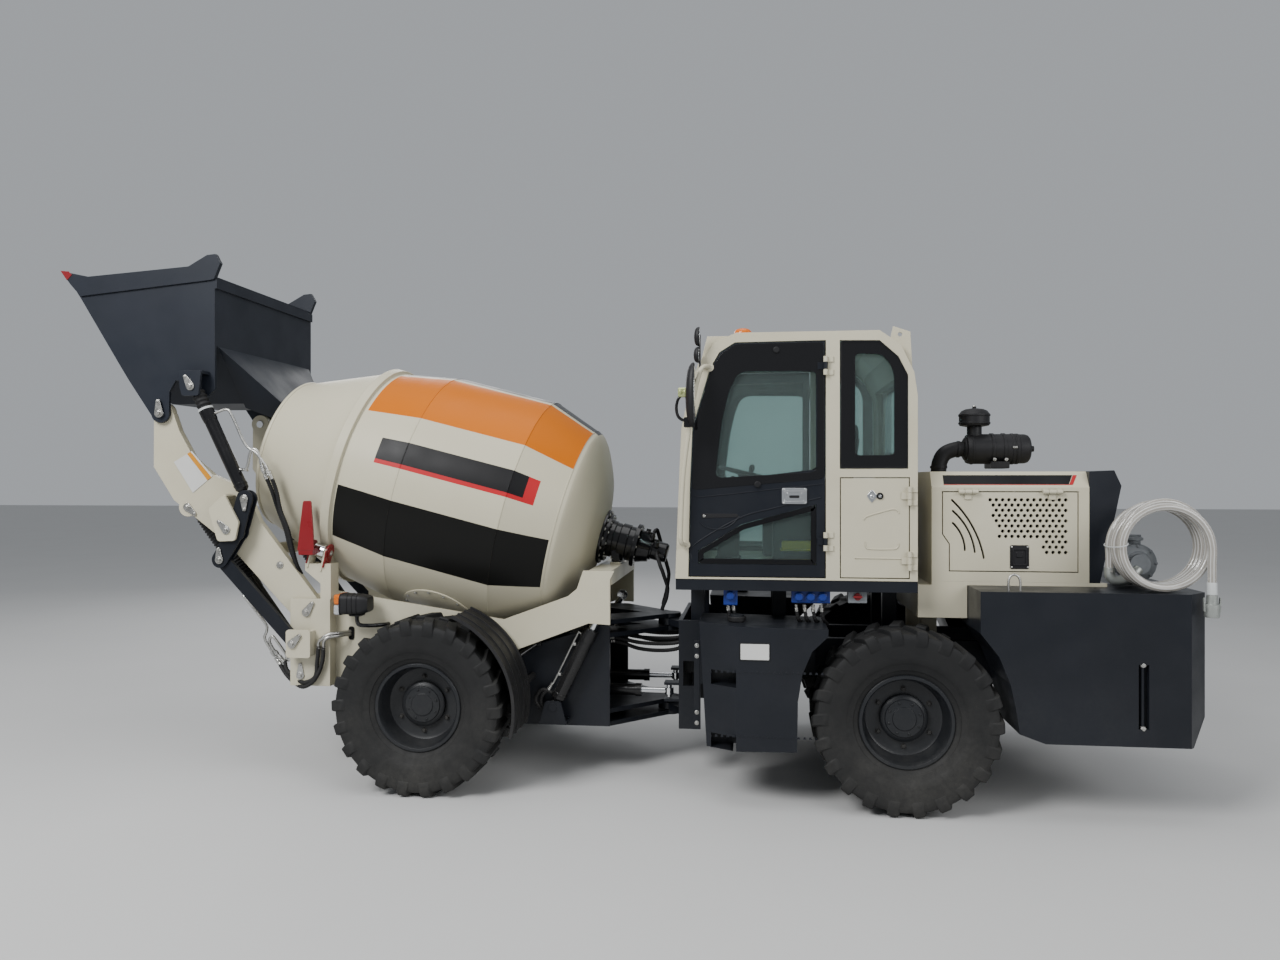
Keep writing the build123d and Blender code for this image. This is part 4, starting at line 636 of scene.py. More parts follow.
# Suction hose: the route's own points as the control points of one smooth spline
hose_metres = 0.046
coil_radius, coil_x, coil_z = 230.0, 2850.0, 1549.3
hose_start_y, hose_pitch, hose_turns = -796.0, 46.5, 4.5
hose_end_y = hose_start_y - hose_pitch * hose_turns
riser_x, tail_x, tail_z = 2620.0, 3080.0, 1290.0
turn = np.arange(0, hose_turns * 16 + 1) / 16.0
swing = pi - turn * 2 * pi
loose = np.interp(turn, [0, 1, 2, 3, 4, 4.5], [0.0, 26.0, -14.0, 34.0, 6.0, 0.0])
loose *= np.minimum(1, np.minimum(turn, hose_turns - turn) * 2) * (0.5 + 0.5 * np.sin(swing - 0.4))
coil_points = np.stack([coil_x + coil_radius * np.cos(swing) * 1.02 + loose * 0.6, hose_start_y - hose_pitch * turn,
    coil_z + (coil_radius + loose) * np.sin(swing)], -1)
riser_points = [(riser_x, hose_start_y, z) for z in (1380.0, 1430.0, 1490.0)]
tail_points = [(tail_x, hose_end_y, z) for z in (1480.0, 1420.0, 1350.0, tail_z)]
hose_points = place(np.vstack([riser_points, coil_points, tail_points]))

hose_clear, tree, shader, where = new_material("hose_clear")
around = add(tree, "SeparateXYZ", {0: add(tree, "UVMap")}).outputs[1]
wave = reckon(tree, "SINE", reckon(tree, "MULTIPLY", around, 2 * pi * 8))
stained = mix(tree, noise(tree, where, 14.0, 5.0, 0.65), (0.5, 0.48, 0.44), (0.36, 0.33, 0.29))
set_inputs(tree, shader, {"Base Color": mix(tree, remap(tree, wave, 0.2, 0.9), stained, (0.78, 0.78, 0.76)),
    "Normal": add(tree, "Bump", {"Height": wave, "Distance": 0.0006}), "Roughness": 0.16, "Coat Weight": 0.6,
    "Transmission Weight": 0.35})

hose_curve = bpy.data.curves.new("suction_hose", "CURVE")
hose_curve.dimensions, hose_curve.use_fill_caps = "3D", True
hose_curve.bevel_depth, hose_curve.bevel_resolution = hose_metres / 2, 5
spline = hose_curve.splines.new("NURBS")
spline.points.add(len(hose_points) - 1)
spline.points.foreach_set("co", np.column_stack([hose_points, np.ones(len(hose_points))]).ravel())
spline.order_u, spline.use_endpoint_u, spline.resolution_u = 3, True, 6
hose_curve.materials.append(hose_clear)
suction_hose = bpy.data.objects.new("suction_hose", hose_curve)
bpy.context.collection.objects.link(suction_hose)
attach(suction_hose, "rear_module")
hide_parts("hose_riser", "hose_coil", "hose_tail")

# Camlock coupling on the hose's end: a ribbed tail, a wide open collar and two lever arms
collar = turned([(0, 23.5), (0, 28), (46, 28), (50, 39), (112, 39), (120, 36), (120, 27), (66, 27), (66, 20)],
    (tail_x, hose_end_y, tail_z), down, 32)
lever_line = [(36, 1196), (44, 1200), (46, 1272), (40, 1282), (36, 1240)]
levers = [sheet_of(eased([(tail_x + s * x, z) for x, z in lever_line], 5), hose_end_y - 8, hose_end_y + 8, "y",
    1.5) for s in (-1, 1)]
tape = turned([(-70, 23.4), (-66, 25.5), (-4, 26.5), (0, 24)], (tail_x, hose_end_y, tail_z + 2), down, 28)
coupling = build("hose_coupling_piece", [collar, *levers], cast_aluminium, replaces="hose_coupling")
tape_wrap = build("hose_tape", [tape], pale_trim)
tie_angle = np.linspace(0, 2 * pi, 33)
tie_line = np.stack([2616 + 42 * np.cos(tie_angle), -901 + 136 * np.sin(tie_angle), 1560 + 14 * np.cos(tie_angle)],
    -1)
tie = build("hose_tie", [carried(tie_line, 3.5, 8)], pale_trim)

# A small screw's head
screw_profile = [(0, 5), (3, 5), (4.5, 3)]

# Drum: the turned shell with welded seams, the raised ring, the rolled mouth and the bolted flange
drum_slope = radians(14.5)
drum_rear = np.array([-466.0, 0.0, 1531.0])
drum_way = np.array([-cos(drum_slope), 0.0, sin(drum_slope)])
drum_top = np.array([sin(drum_slope), 0.0, cos(drum_slope)])


def on_drum(station, radius, turn):
    """A point of the drum: rear end + station * axis + radius * (cos turn upwards, sin turn to the viewer)."""
    station, radius, turn = np.broadcast_arrays(*(np.array(v, float) for v in (station, radius, turn)))
    out = np.cos(turn)[..., None] * drum_top + np.sin(turn)[..., None] * np.array([0.0, -1.0, 0.0])
    return drum_rear + station[..., None] * drum_way + radius[..., None] * out


dish = smooth_line([(0, 190, 0), (25, 315, 0), (46, 415, 0), (78, 500, 0), (115, 580, 0), (150, 642, 0),
    (184, 684, 0), (212, 699, 0)], 5)[:, :2]
outer = [(0, 189), *map(tuple, dish), (213, 701.5), (219, 704.5), (221, 702), (537, 820.5), (538, 823.5),
    (542, 824), (543, 822), (1246, 822), (1247, 824), (1252, 824), (1253, 821), (1640, 757), (1656, 756),
    (1660, 764), (1660, 776), (1663, 778), (1717, 778), (1720, 776), (1720, 764), (1726, 747), (2306, 529),
    (2310, 534), (2324, 534), (2332, 527), (2332, 517), (2326, 512), (2310, 516)]
inner = [(1690, 744), (1250, 814), (540, 814), (185, 682), (53, 422), (8, 186)]
drum_profile = np.array(outer + inner, float)
drum_turn = np.radians(np.arange(-180, 180, 2.5))
drum_points = on_drum(drum_profile[:, :1], drum_profile[:, 1:], drum_turn[None])
drum_mark = np.stack([np.broadcast_to(np.degrees(np.abs(drum_turn))[None], drum_points.shape[:2]),
    np.broadcast_to(drum_profile[:, :1], drum_points.shape[:2]), np.zeros(drum_points.shape[:2])], -1)
build("drum_body", [rings(drum_points)], drum_paint, "drum", replaces="drum_shell", angle=6.5,
    attributes={"drum_place": drum_mark.reshape(-1, 3)})

# Two spiral blades inside the drum: a thin section carried along a helix at the wall
blade_run = np.linspace(0, 1, 180)
blade_station = 330 + 1940 * blade_run
blade_wall = np.interp(blade_station, [185, 540, 1250, 1690, 2320], [682, 814, 814, 744, 512])
blade_depth = 190 - 90 * blade_run
blades = []
for start in (0.0, pi):
    sweep = start + 2 * pi * 1.35 * blade_run
    corners = [(0, blade_wall - 2), (0, blade_wall - blade_depth), (5, blade_wall - blade_depth),
        (5, blade_wall - 2)]
    blades.append(rings(np.stack([on_drum(blade_station + shift, reach, sweep) for shift, reach in corners], 1)))
build("drum_blades", blades, cream_paint, "drum", angle=40)

# Oval hatch with its ring of bolts, bent round the belly, and the bolted flange
hatch_station, hatch_turn = 890, radians(150)
hatch_u = even(56)
hatch = np.stack([on_drum(hatch_station + 255 * share * np.cos(hatch_u), 822 + rise,
    hatch_turn + 0.27 * share * np.sin(hatch_u)) for share, rise in ((1.0, -2.0), (1.0, 7.0), (0.965, 9.0),
    (0.05, 9.0))])
build("drum_hatch", [rings(hatch)], cream_paint, "drum")
drum_bolts = []
for spot in even(14):
    station = hatch_station + 235 * cos(spot)
    centre = on_drum(station, 831.0, hatch_turn + 0.248 * sin(spot))
    drum_bolts += bolt(centre, centre - on_drum(station, 0.0, 0.0), 8, 7)
drum_bolts += bolts([on_drum(-20, 172, spot) for spot in even(16)], -drum_way, 9, 8)
build("drum_bolts", drum_bolts, zinc, "drum")
flange = turned([(-20, 60), (-20, 186), (-17, 190), (-2, 190), (0, 187)], drum_rear, drum_way, 64)
build("drum_flange", [flange], gloss_black, "drum")

# Gearbox and motor behind the drum
gear_profile = [(-22, 60), (-22, 165), (-47, 165), (-50, 128), (-80, 128), (-86, 121), (-120, 121), (-126, 128),
    (-180, 128), (-186, 121), (-222, 121), (-228, 150), (-255, 150), (-262, 118), (-300, 104), (-342, 92),
    (-346, 76), (-356, 76), (-360, 68), (-452, 68), (-466, 58)]
gear_body = turned(gear_profile, drum_rear, drum_way, 48)
gear_places = [at for spot in even(12) for at in (on_drum(-255, 138, spot), on_drum(-47, 150, spot + 0.2))]
gear_bolts = bolts(gear_places, -drum_way, 7, 7)
foot = box_of((-392, -104, 1362), (-338, 104, 1442), 6)
ports = [turned([(0, 20), (34, 20), (36, 16), (52, 16)], on_drum(-300 - 40 * k, 80, 0.6 * k), drum_top, 16)
    for k in (0, 1, 2)]
build("drum_drive", [gear_body, foot, *ports], gloss_black, "drum_frame", replaces="drum_gearbox")
build("drum_drive_bolts", gear_bolts, zinc, "drum_frame")
drive_hoses = [pipe([on_drum(-330, 84, -0.4), on_drum(-350, 150, -0.5), (-60, 120, 1420), (-20, 150, 1250),
    (-60, 160, 1040)], 13, 12, 10, 1.2, 46), pipe([on_drum(-400, 66, 1.6), on_drum(-410, 150, 1.7),
    (-40, -190, 1330), (0, -150, 1180), (-40, -120, 1040)], 13, 12, 10, 1.2, 46)]
drive_bend = build("drive_hoses", drive_hoses, rubber, None)
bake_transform(drive_bend)

# Mouth rollers in red cheeks under the raised ring, with a guard fin on the cheek nearer the mouth
roller_parts, roller_red, roller_pins = [], [], []
ring_station, roller_reach, roller_turn = 1690.0, 778.0 + 46.3, radians(52.0)
a = np.linspace(-0.2 * pi, 1.2 * pi, 22)
cheek = np.vstack([np.column_stack([58 * np.cos(a), 58 * np.sin(a)]), [(-50, -96), (50, -96)]])
fin_line = [(-2344, 1470), (-2306, 1782), (-2299, 1790), (-2256, 1790), (-2250, 1782), (-2236, 1590), (-2232, 1470)]
fin_parts = [sheet_of(fin_line, 738, 750), sheet_of([(-2336, 1440), (-2240, 1440), (-2236, 1480), (-2340, 1480)],
    640, 748)]
for side in (1, -1):
    spot = on_drum(ring_station, roller_reach, side * (pi - roller_turn))
    roller_parts.append(turned([(-38, 16), (-38, 42), (-35, 46), (35, 46), (38, 42), (38, 16)], spot, drum_way, 48))
    roller_pins.append(turned([(-66, 12), (-66, 16), (66, 16), (66, 12)], spot, drum_way, 24))
    for end in (-1, 1):
        base, out = spot + drum_way * end * 53.5, drum_way * end
        flat, faces = sheet_of(cheek, 0, 9, "z", 1.5)
        roller_red.append((base + flat[:, :1] * (0, -side, 0) + flat[:, 1:2] * drum_top + flat[:, 2:] * out, faces))
        roller_red.append(turned([(8, 30), (16, 30), (18, 27), (18, 18)], base, out, 28))
        roller_pins += bolt(spot + out * 71, out, 13, 9)
    roller_red += [mirrored(part) for part in fin_parts] if side == 1 else fin_parts
build("mouth_roller_set", roller_parts, chrome, "drum_frame", replaces="mouth_rollers")
build("roller_cheeks", roller_red, red_paint, "drum_frame")
build("roller_pins", roller_pins, zinc, "drum_frame")

# Wheels: tyres with two rows of leaning lugs half a pitch apart, disc rims with their hubs and nuts
axle_z, half_track, lug_count = 537.5, 835.0, 22
wheel_x, lug_start = 1450.0, 186.195


def tyre_shape(centre, side):
    """A tyre: its carcass turned about the axle, and its lugs. A lug is a chamfered section carried from the middle
    of the tread and over the shoulder, leaning as it goes, and repeated round the wheel."""
    half = [(147.5, 262), (151, 273), (164, 294), (167, 300), (172, 302), (183, 335), (186, 341), (190, 346),
        (195, 378), (198.5, 415), (200.5, 450), (200.5, 478), (197, 498), (189, 508), (150, 512), (80, 513.5),
        (0, 514)]
    shapes = [turned([(-y, r) for y, r in half] + half[-2::-1], centre, (0, side, 0), 132, True)]
    path = np.array([(22, 526, 24, 500), (27, 534.3, 28, 500), (100, 534.3, 100, 500), (168, 534.3, 166, 500),
        (188, 533.4, 178, 498), (198, 527, 184, 492), (205.5, 510, 188, 485), (206, 482, 192, 475),
        (204, 452, 193, 455), (200, 444, 193, 451)])
    t, share = np.array([-37, -33, -28, 28, 33, 37.0]), np.array([0, 0.75, 1, 1, 0.75, 0.0])
    sideways = -25 + 50 * (path[:, :1] - 22) / 174.5 + t
    reach = path[:, 3:] + (path[:, 1:2] - path[:, 3:]) * share
    width = path[:, 2:3] + (path[:, :1] - path[:, 2:3]) * share
    for row, shift in ((1, 0.0), (-1, 0.5)):
        a = np.radians(lug_start + (np.arange(lug_count) + shift) * 360 / lug_count)[:, None, None]
        x, z = reach * np.sin(a) + sideways * np.cos(a), reach * np.cos(a) - sideways * np.sin(a)
        points = np.stack([x, np.broadcast_to(side * row * width, x.shape), z], -1) + centre
        one, faces = rings(points[0])
        starts = (np.arange(lug_count) * len(one))[:, None, None]
        shapes.append((points.reshape(-1, 3), [(face[None] + starts).reshape(-1, face.shape[1]) for face in faces]))
    return shapes


def rim_shapes(centre, side):
    """A disc rim: the barrel's closed section, the disc and the hub turned about the axle, on its own side."""
    barrel = [(-158, 256), (-158, 268), (-150, 270), (-147, 258), (147, 258), (150, 270), (156, 271), (161, 266),
        (160, 250), (150, 243), (120, 236), (70, 226), (38, 220), (30, 205), (30, 134), (20, 134), (20, 214),
        (-10, 226), (-120, 240), (-150, 246)]
    hub = [(-34, 60), (-34, 138), (52, 138), (58, 132), (64, 112), (70, 108), (74, 70), (79, 66), (79, 20)]
    way = (0, side, 0)
    return [turned(barrel, centre, way, 72, True), turned(hub, centre, way, 56)]


for end, x in (("front", -wheel_x), ("rear", wheel_x)):
    for name, side in (("left", -1), ("right", 1)):
        centre = np.array([x, side * half_track, axle_z])
        body = f"{end}_{name}_wheel"
        build(f"{body}_tyre", tyre_shape(centre, side), tyre_rubber, body, replaces=f"{end}_{name}_tyre", angle=30)
        build(f"{body}_rim", rim_shapes(centre, side), rim_paint, body, replaces=f"{end}_{name}_rim")
        nuts = [centre + (168 * cos(spot), side * 30, 168 * sin(spot)) for spot in even(6) + pi / 2]
        caps = [centre + (92 * cos(spot), side * 71, 92 * sin(spot)) for spot in even(8) + 0.3]
        build(f"{body}_nuts", bolts(nuts, (0, side, 0), 11, 16), black_iron, body)
        build(f"{body}_hub_bolts", bolts(caps, (0, side, 0), 6, 6), rim_paint, body)


# Hydraulic cylinders: barrels with welded caps and glands, chromed rods with eyes
def cylinder(base, eye, y, radius, rod_radius, neck, length, rod_length):
    """A barrel and a rod between two pins: profiles turned about the line from the base pin to the rod's eye."""
    start = np.array([base[0], y, base[1]])
    end = np.array([eye[0], y, eye[1]])
    way = unit(end - start)
    barrel = [(neck - 28, 20), (neck - 8, radius - 6), (neck, radius), (neck + 20, radius), (neck + 22, radius + 3),
        (neck + 34, radius + 3), (neck + 36, radius), (length - 92, radius), (length - 90, radius + 3),
        (length - 80, radius + 3), (length - 60, radius + 5), (length - 4, radius + 5), (length, radius + 1),
        (length, rod_radius + 1), (length - 30, rod_radius + 1)]
    shapes = [turned(barrel, start, way, 40)]
    shapes.append(turned([(-17, 28), (-17, 38), (-14, 40), (14, 40), (17, 38), (17, 28)], start, (0, 1, 0), 32,
        True))
    rod_shapes = [turned([(26, rod_radius), (rod_length, rod_radius)], end, -way, 32)]
    rod_shapes.append(turned([(-16, 27), (-16, 38), (-13, 40), (13, 40), (16, 38), (16, 27)], end, (0, 1, 0), 32))
    return shapes, rod_shapes, start, end, way


def sleeve(start, way, low, high, radius, folds):
    """A rubber bellows: along the rod the radius is radius * (1 + 0.085 * sin(2 pi * folds * share))."""
    share = np.linspace(0, 1, folds * 8 + 1)
    depth = radius * (1 + 0.085 * np.sin(2 * pi * folds * share) * np.minimum(1, np.minimum(share, 1 - share) * 20))
    return turned(np.column_stack([low + (high - low) * share, depth]), start, way, 32)


arm_pin, link_drop = (-2310.0, 1063.0), (-60.0, -195.0)
rocker_pin, bucket_pin = (-2815.0, 1600.0), (-3340.0, 2369.0)
lift_base, lift_eye = (-2352.0, 652.0), (-3161.0, 1743.0)
crowd_base, crowd_eye = (-2703.0, 1802.0), (-3064.0, 2537.0)
tilt_base, tilt_eye = (-703.0, 461.0), (-404.0, 1064.0)
rocker_link = (rocker_pin[0] + link_drop[0], rocker_pin[1] + link_drop[1])
link_frame = (arm_pin[0] + link_drop[0], arm_pin[1] + link_drop[1])

# Name, both pins, y, radii of barrel and rod, neck, lengths of both; bellows' start, end, radius and folds
cylinder_rows = (("lift", lift_base, lift_eye, 515.0, 45.0, 26.0, 62, 760, 740, (60, 588, 62, 24)),
    ("crowd", crowd_base, crowd_eye, 722.0, 42.0, 24.0, 74, 660, 640, (40, 158, 42, 4)),
    ("tilt", tilt_base, tilt_eye, 520.0, 46.0, 26.0, 62, 560, 560, None))
for name, base, eye, y, radius, rod_radius, neck, length, rod_length, folds in cylinder_rows:
    barrel_shapes, rod_shapes, boots, glands = [], [], [], []
    for side in (-1, 1):
        barrel, rod, start, end, way = cylinder(base, eye, side * y, radius, rod_radius, neck, length, rod_length)
        barrel_shapes += barrel
        rod_shapes += rod
        glands.append(turned([(length - 2, radius + 4.5), (length - 2, radius + 7), (length - 16, radius + 7),
            (length - 16, radius + 4.5)], start, way, 36, True))
        if folds:
            low, high, wide, count = folds
            boots.append(sleeve(end, -way, low, high, wide, count))
    build(f"{name}_barrel_set", barrel_shapes, gloss_black, f"{name}_barrels", replaces=f"{name}_barrels")
    if name == "crowd":
        build("crowd_gland_rings", glands, pale_trim, "crowd_barrels")
    build(f"{name}_rod_set", rod_shapes, chrome, f"{name}_rods", replaces=f"{name}_rods")
    if boots:
        bellows_of = build(f"{name}_boots", boots, rubber, None)
        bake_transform(bellows_of)

# Keeper plates on the pins' outer ends: where each pin is, what its plate points to, its face's y and its size
keeper_pins = {"arm": ("loader_arm", [(rocker_pin, (-2870, 1660), 778, 46), (lift_eye, (-3110, 1700), 655, 44)]),
    "bucket": ("bucket", [(bucket_pin, (-3345, 2440), 692, 50), (crowd_eye, (-3100, 2600), 776, 46)]),
    "rocker": ("rockers", [(crowd_base, (-2700, 1730), 757, 44), (rocker_link, (-2880, 1480), 757, 44)]),
    "post": ("drum_frame", [(arm_pin, (-2270, 1120), 692, 46), (link_frame, (-2330, 910), 768, 46),
        (lift_base, (-2350, 730), 688, 44)])}
for name, (body, pins) in keeper_pins.items():
    plates = []
    for side in (-1, 1):
        for pin, toward, y, size in pins:
            plates += keeper(pin, toward, side * y, size)
    build(f"{name}_pin_keepers", plates, zinc, body)

# Cab doors: the glass's printed border, seals, paddle latch, pressed pull and knobs, made on the left and mirrored
door_y = -850
border_line = rounded([(213, 1864), (226, 2240), (332, 2590), (385, 2680), (475, 2738), (996, 2742), (996, 1932)],
    30, 200)
clear_line = rounded([(352, 1936), (396, 2284), (438, 2460), (478, 2548), (530, 2574), (956, 2568), (956, 1972)],
    44, 200)
pane_line = rounded([(248, 1903), (265, 2200), (354, 2558), (400, 2632), (448, 2659), (948, 2667), (948, 1988)], 12,
    200)
lower_line = [(252, 1422), (252, 1498), (511, 1657), (948, 1777), (948, 1422)]
door_black = [frame_of(border_line, clear_line, -853.5, -849.5), frame_of(pane_line, clear_line, -849.5, -832),
    seal(lower_line, 30, -851.5, -832)]
bead_lines = {4.5: [(216, 1436), (222, 1530), (494, 1695), (700, 1756), (978, 1820)],
    3.5: [(226, 1832), (262, 1824), (330, 1828), (640, 1862), (990, 1900)],
    5: [(262, 1668), (300, 1640), (368, 1628), (440, 1650), (498, 1706)]}
door_beads = [pipe(upright(door_y, line), radius, 10) for radius, line in bead_lines.items()]
pull = sheet_of(eased([(268, 1694), (490, 1700), (486, 1722), (276, 1722)], 8), -853, -848, "y", 1.5)
knobs = [turned([(0, 8), (0, 19), (10, 19), (13, 15), (13, 6)], (x, -852, z), near, 24)
    for x, z in ((715, 2698), (604, 1898))]
middle = np.array([821.0, 1829.0])
latch = [oblong_ring(middle, (147, 94, 12), (116, 62, 10), -862, -849), oblong_tile(middle, (118, 64, 8), -854,
    -850, 1), oblong_tile(middle + (0, 8), (92, 30, 10), -860, -853, 1.5)]
latch += [turned(screw_profile, (x, -861, z), near, 14) for x, z in ((758, 1790), (884, 1790), (758, 1868),
    (884, 1868))]
latch_slot = oblong_tile(middle + (0, -4), (60, 16, 7), -861.5, -859, 0.8)
pull_pin = [turned([(0, 9), (4, 9), (6, 6), (6, 1)], (286, -852, 1708), near, 20)]

# Locker door: diamond latch, its black ring and the pressed ridges
locker_latch = [sheet_of(eased([(1240, 1830), (1272, 1872), (1304, 1830), (1272, 1786)], 12), -854, -849, "y", 1.2),
    *bolt((1272, -854, 1853), near, 5, 4), turned([(0, 12), (10, 12), (12, 9), (12, 2)], (1272, -854, 1826), near,
    24), turned([(0, 9), (4, 9), (5, 6), (5, 1)], (1318, door_y, 1830), near, 20)]
locker_ring = [turned([(0, 10), (0, 20), (7, 20), (9, 17), (9, 12), (6, 10)], (1318, door_y, 1830), near, 32, True)]
ridges = [pipe(upright(door_y, line), 5, 10) for line in ([(1226, 1690), (1240, 1708), (1300, 1728), (1390, 1752),
    (1420, 1744), (1428, 1728)], [(1232, 1560), (1238, 1530), (1262, 1518), (1390, 1518), (1420, 1530),
    (1426, 1552)], [(1180, 1462), (1200, 1464), (1450, 1462), (1468, 1460)])]

# Quarter window border
quarter_outer = rounded([(1091, 1994), (1091, 2746), (1316, 2742), (1422, 2648), (1476, 2540), (1476, 1994)], 20,
    180)
quarter_inner = rounded([(1176, 2070), (1176, 2672), (1330, 2664), (1382, 2606), (1402, 2540), (1402, 2070)], 30,
    180)
quarter_seal = [(1089, 1992), (1089, 2748), (1316, 2744), (1423, 2649), (1478, 2540), (1478, 1992)]
quarter_black = [frame_of(quarter_outer, quarter_inner, -847, -828), seal(quarter_seal, 7, -852, -847)]


def left_or_right(side, shapes):
    """The left side's shapes, or their images for the right side."""
    return list(shapes) if side == "left" else [mirrored(shape) for shape in shapes]


for side in ("left", "right"):
    for name, shapes, finish_of, door in (("glass_border", door_black, glass_border, "cab_door"),
            ("door_beads", door_beads, charcoal_paint, "cab_door"), ("door_latch", latch, chrome, "cab_door"),
            ("door_knobs", [*knobs, latch_slot, pull], dark_plastic, "cab_door"), ("pull_pin", pull_pin, zinc,
            "cab_door"), ("locker_latch", locker_latch, chrome, "locker_door"), ("locker_ring", locker_ring,
            label_black, "locker_door"), ("locker_ridges", ridges, cream_paint, "locker_door")):
        build(f"{side}_{name}", left_or_right(side, shapes), finish_of, f"{side}_{door}")
build("quarter_borders", both(*quarter_black), glass_border)

# Windscreen and rear window borders: the windscreen's plane leans back by 18 in 761
half = 752.0
screen_border = frame_of(loop_points([(-half, 1478), (half, 1478), (half, 2226), (-half, 2226)]),
    loop_points([(60 - half, 1560), (half - 60, 1560), (half - 60, 2218), (60 - half, 2218)]), 0, 4, "x")
screen_border[0][:, 0] += 134 + (screen_border[0][:, 2] - 1470) * 18 / 761
rear_border = frame_of(rounded([(-556, 2064), (556, 2064), (556, 2556), (-556, 2556)], 30),
    rounded([(-510, 2110), (510, 2110), (510, 2510), (-510, 2510)], 40), 1514, 1520, "x")
build("screen_borders", [screen_border, rear_border], glass_border)
wiper = [carried([(118, -140, 1452), (124, -110, 1700), (128, -70, 1980)], 6, 8), box_of((118, -84, 1640),
    (130, -72, 2200)), turned([(-14, 12), (-14, 20), (14, 20), (16, 14)], (122, -140, 1450), (1, 0, 0), 24)]
build("wiper", wiper, dark_plastic)

# Grab rails, mirrors on their arms, roof brackets, beacon
rail = pipe([(176, -850, 1534), (160, -890, 1540), (150, -914, 1566), (150, -918, 1640), (168, -918, 1984),
    (226, -918, 2401), (258, -918, 2545), (276, -912, 2590), (300, -886, 2604), (318, -850, 2600)], 14, 16, 12)
rail_feet = [turned([(-2, 8), (-2, 26), (4, 26), (6, 15)], (x, -850, z), near, 24)
    for x, z in ((176, 1534), (318, 2600))]
build("grab_rails", both(rail, *rail_feet), cream_paint, replaces="cab_fittings")


def oval_housing(centre, half_y, half_z, depth):
    """A mirror's shell: ellipses of changing size set along x, from the rim by the glass to the closed back."""
    steps = np.array([(0.0, 0.9), (0.0, 1.0), (0.12, 1.03), (0.3, 1.02), (0.55, 0.95), (0.78, 0.78), (0.92, 0.52),
        (1.0, 0.15)])
    a = even(48)[None]
    y, z = half_y * steps[:, 1:] * np.cos(a), half_z * steps[:, 1:] * np.sin(a)
    x = np.broadcast_to(-depth * steps[:, :1], y.shape)
    return rings(np.stack([x, y, z], -1) + np.array(centre, float))


# Each mirror: its glass's middle, the half sizes and depth of its shell; its glass is smaller all round
mirrors = [((238, -1000, 2422), 86, 186, 54, 10), ((262, -905, 2778), 40, 56, 34, 6), ((258, -915, 2668), 36, 46,
    32, 5)]
mirror_shells = [oval_housing(*row[:4]) for row in mirrors]
glass_points, glass_faces = turned([(0, 0.1), (0, 1), (2, 0.97), (2, 0.1)], (0, 0, 0), (1, 0, 0), 48)
mirror_glasses = [(glass_points * (1, y - less, z - less) + middle_at, glass_faces)
    for middle_at, y, z, _, less in mirrors]
mirror_arms = [pipe(upright(-1000, [(158, 2420), (140, 2396), (131, 2352), (138, 2306), (160, 2280), (196, 2270)]),
    9, 12), carried([(234, -918, 2438), (200, -960, 2438), (172, -1000, 2438)], 10, 12),
    pipe([(266, -912, 2560), (264, -908, 2620), (262, -904, 2700), (262, -900, 2790)], 7, 10, 8),
    box_of((176, -1018, 2232), (220, -982, 2292), 5)]
clamps = [box_of((142, -1026, 2410), (202, -978, 2464), 6), *bolts(upright(-1026, [(158, 2438), (186, 2438)]), near,
    9, 8)]
build("mirror_shells", both(*mirror_shells), dark_plastic, replaces="cab_fittings")
build("mirror_faces", both(*mirror_glasses), mirror_glass, replaces="cab_fittings")
build("mirror_arms", both(*mirror_arms), gloss_black, replaces="cab_fittings")
build("mirror_clamps", both(*clamps), clamp_zinc)
roof_plate = sheet_of([(262, 2640), (300, 2797), (430, 2797), (352, 2746)], -782, -770, "y", 1.5)
build("roof_brackets", both(roof_plate), cream_paint)
beacon_base = turned([(0, 10), (0, 64), (6, 66), (14, 66), (16, 58), (16, 10)], (512, -500, 2812), upward)
beacon_dome = turned([(16, 10), (16, 56), (22, 57), (48, 54), (60, 45), (67, 28), (69, 8)], (512, -500, 2816),
    upward)
build("beacon_base", [beacon_base], dark_plastic, replaces="cab_fittings")
build("beacon_dome", [beacon_dome], amber_lens, replaces="cab_fittings")

# Inside the cab: seat on its bellows base, steering wheel on the console, arm consoles, box by the door
seat_cushion = build("seat_cushion", [cushion((938, 0, 1664), (246, 246, 62), radians(-2), (-110, 0, 110), 3)],
    seat_vinyl, replaces="driver_seat")
seat_back = build("seat_back", [cushion((1188, 0, 2010), (300, 226, 58), radians(79.5), (-120, 0, 120), 3)],
    seat_vinyl, replaces="driver_seat")
base_line = np.array([(-170, -190), (170, -190), (190, -170), (190, 170), (170, 190), (-170, 190), (-190, 170),
    (-190, -170)])
folded = [np.column_stack([(935, 0) + base_line * (1 + 0.05 * sin(s * 12 * pi), 1 + 0.05 * sin(s * 12 * pi)),
    np.full(8, 1420 + 130 * s)]) for s in np.linspace(0, 1, 49)]
seat_base = [rings(np.stack(folded)), box_of((730, -210, 1379), (1150, 210, 1420), 6), box_of((720, -225, 1550),
    (1170, 225, 1602), 8), sheet_of([(1110, 1590), (1190, 1590), (1286, 2200), (1244, 2200)], -60, 60, "y", 6)]
build("seat_base", seat_base, dark_plastic, replaces="driver_seat")
wheel_way, wheel_hub, a = unit((100.0, 0.0, 420.0)), np.array([522.0, 0.0, 1972.0]), even(16)
wheel_side = np.array([wheel_way[2], 0, -wheel_way[0]])
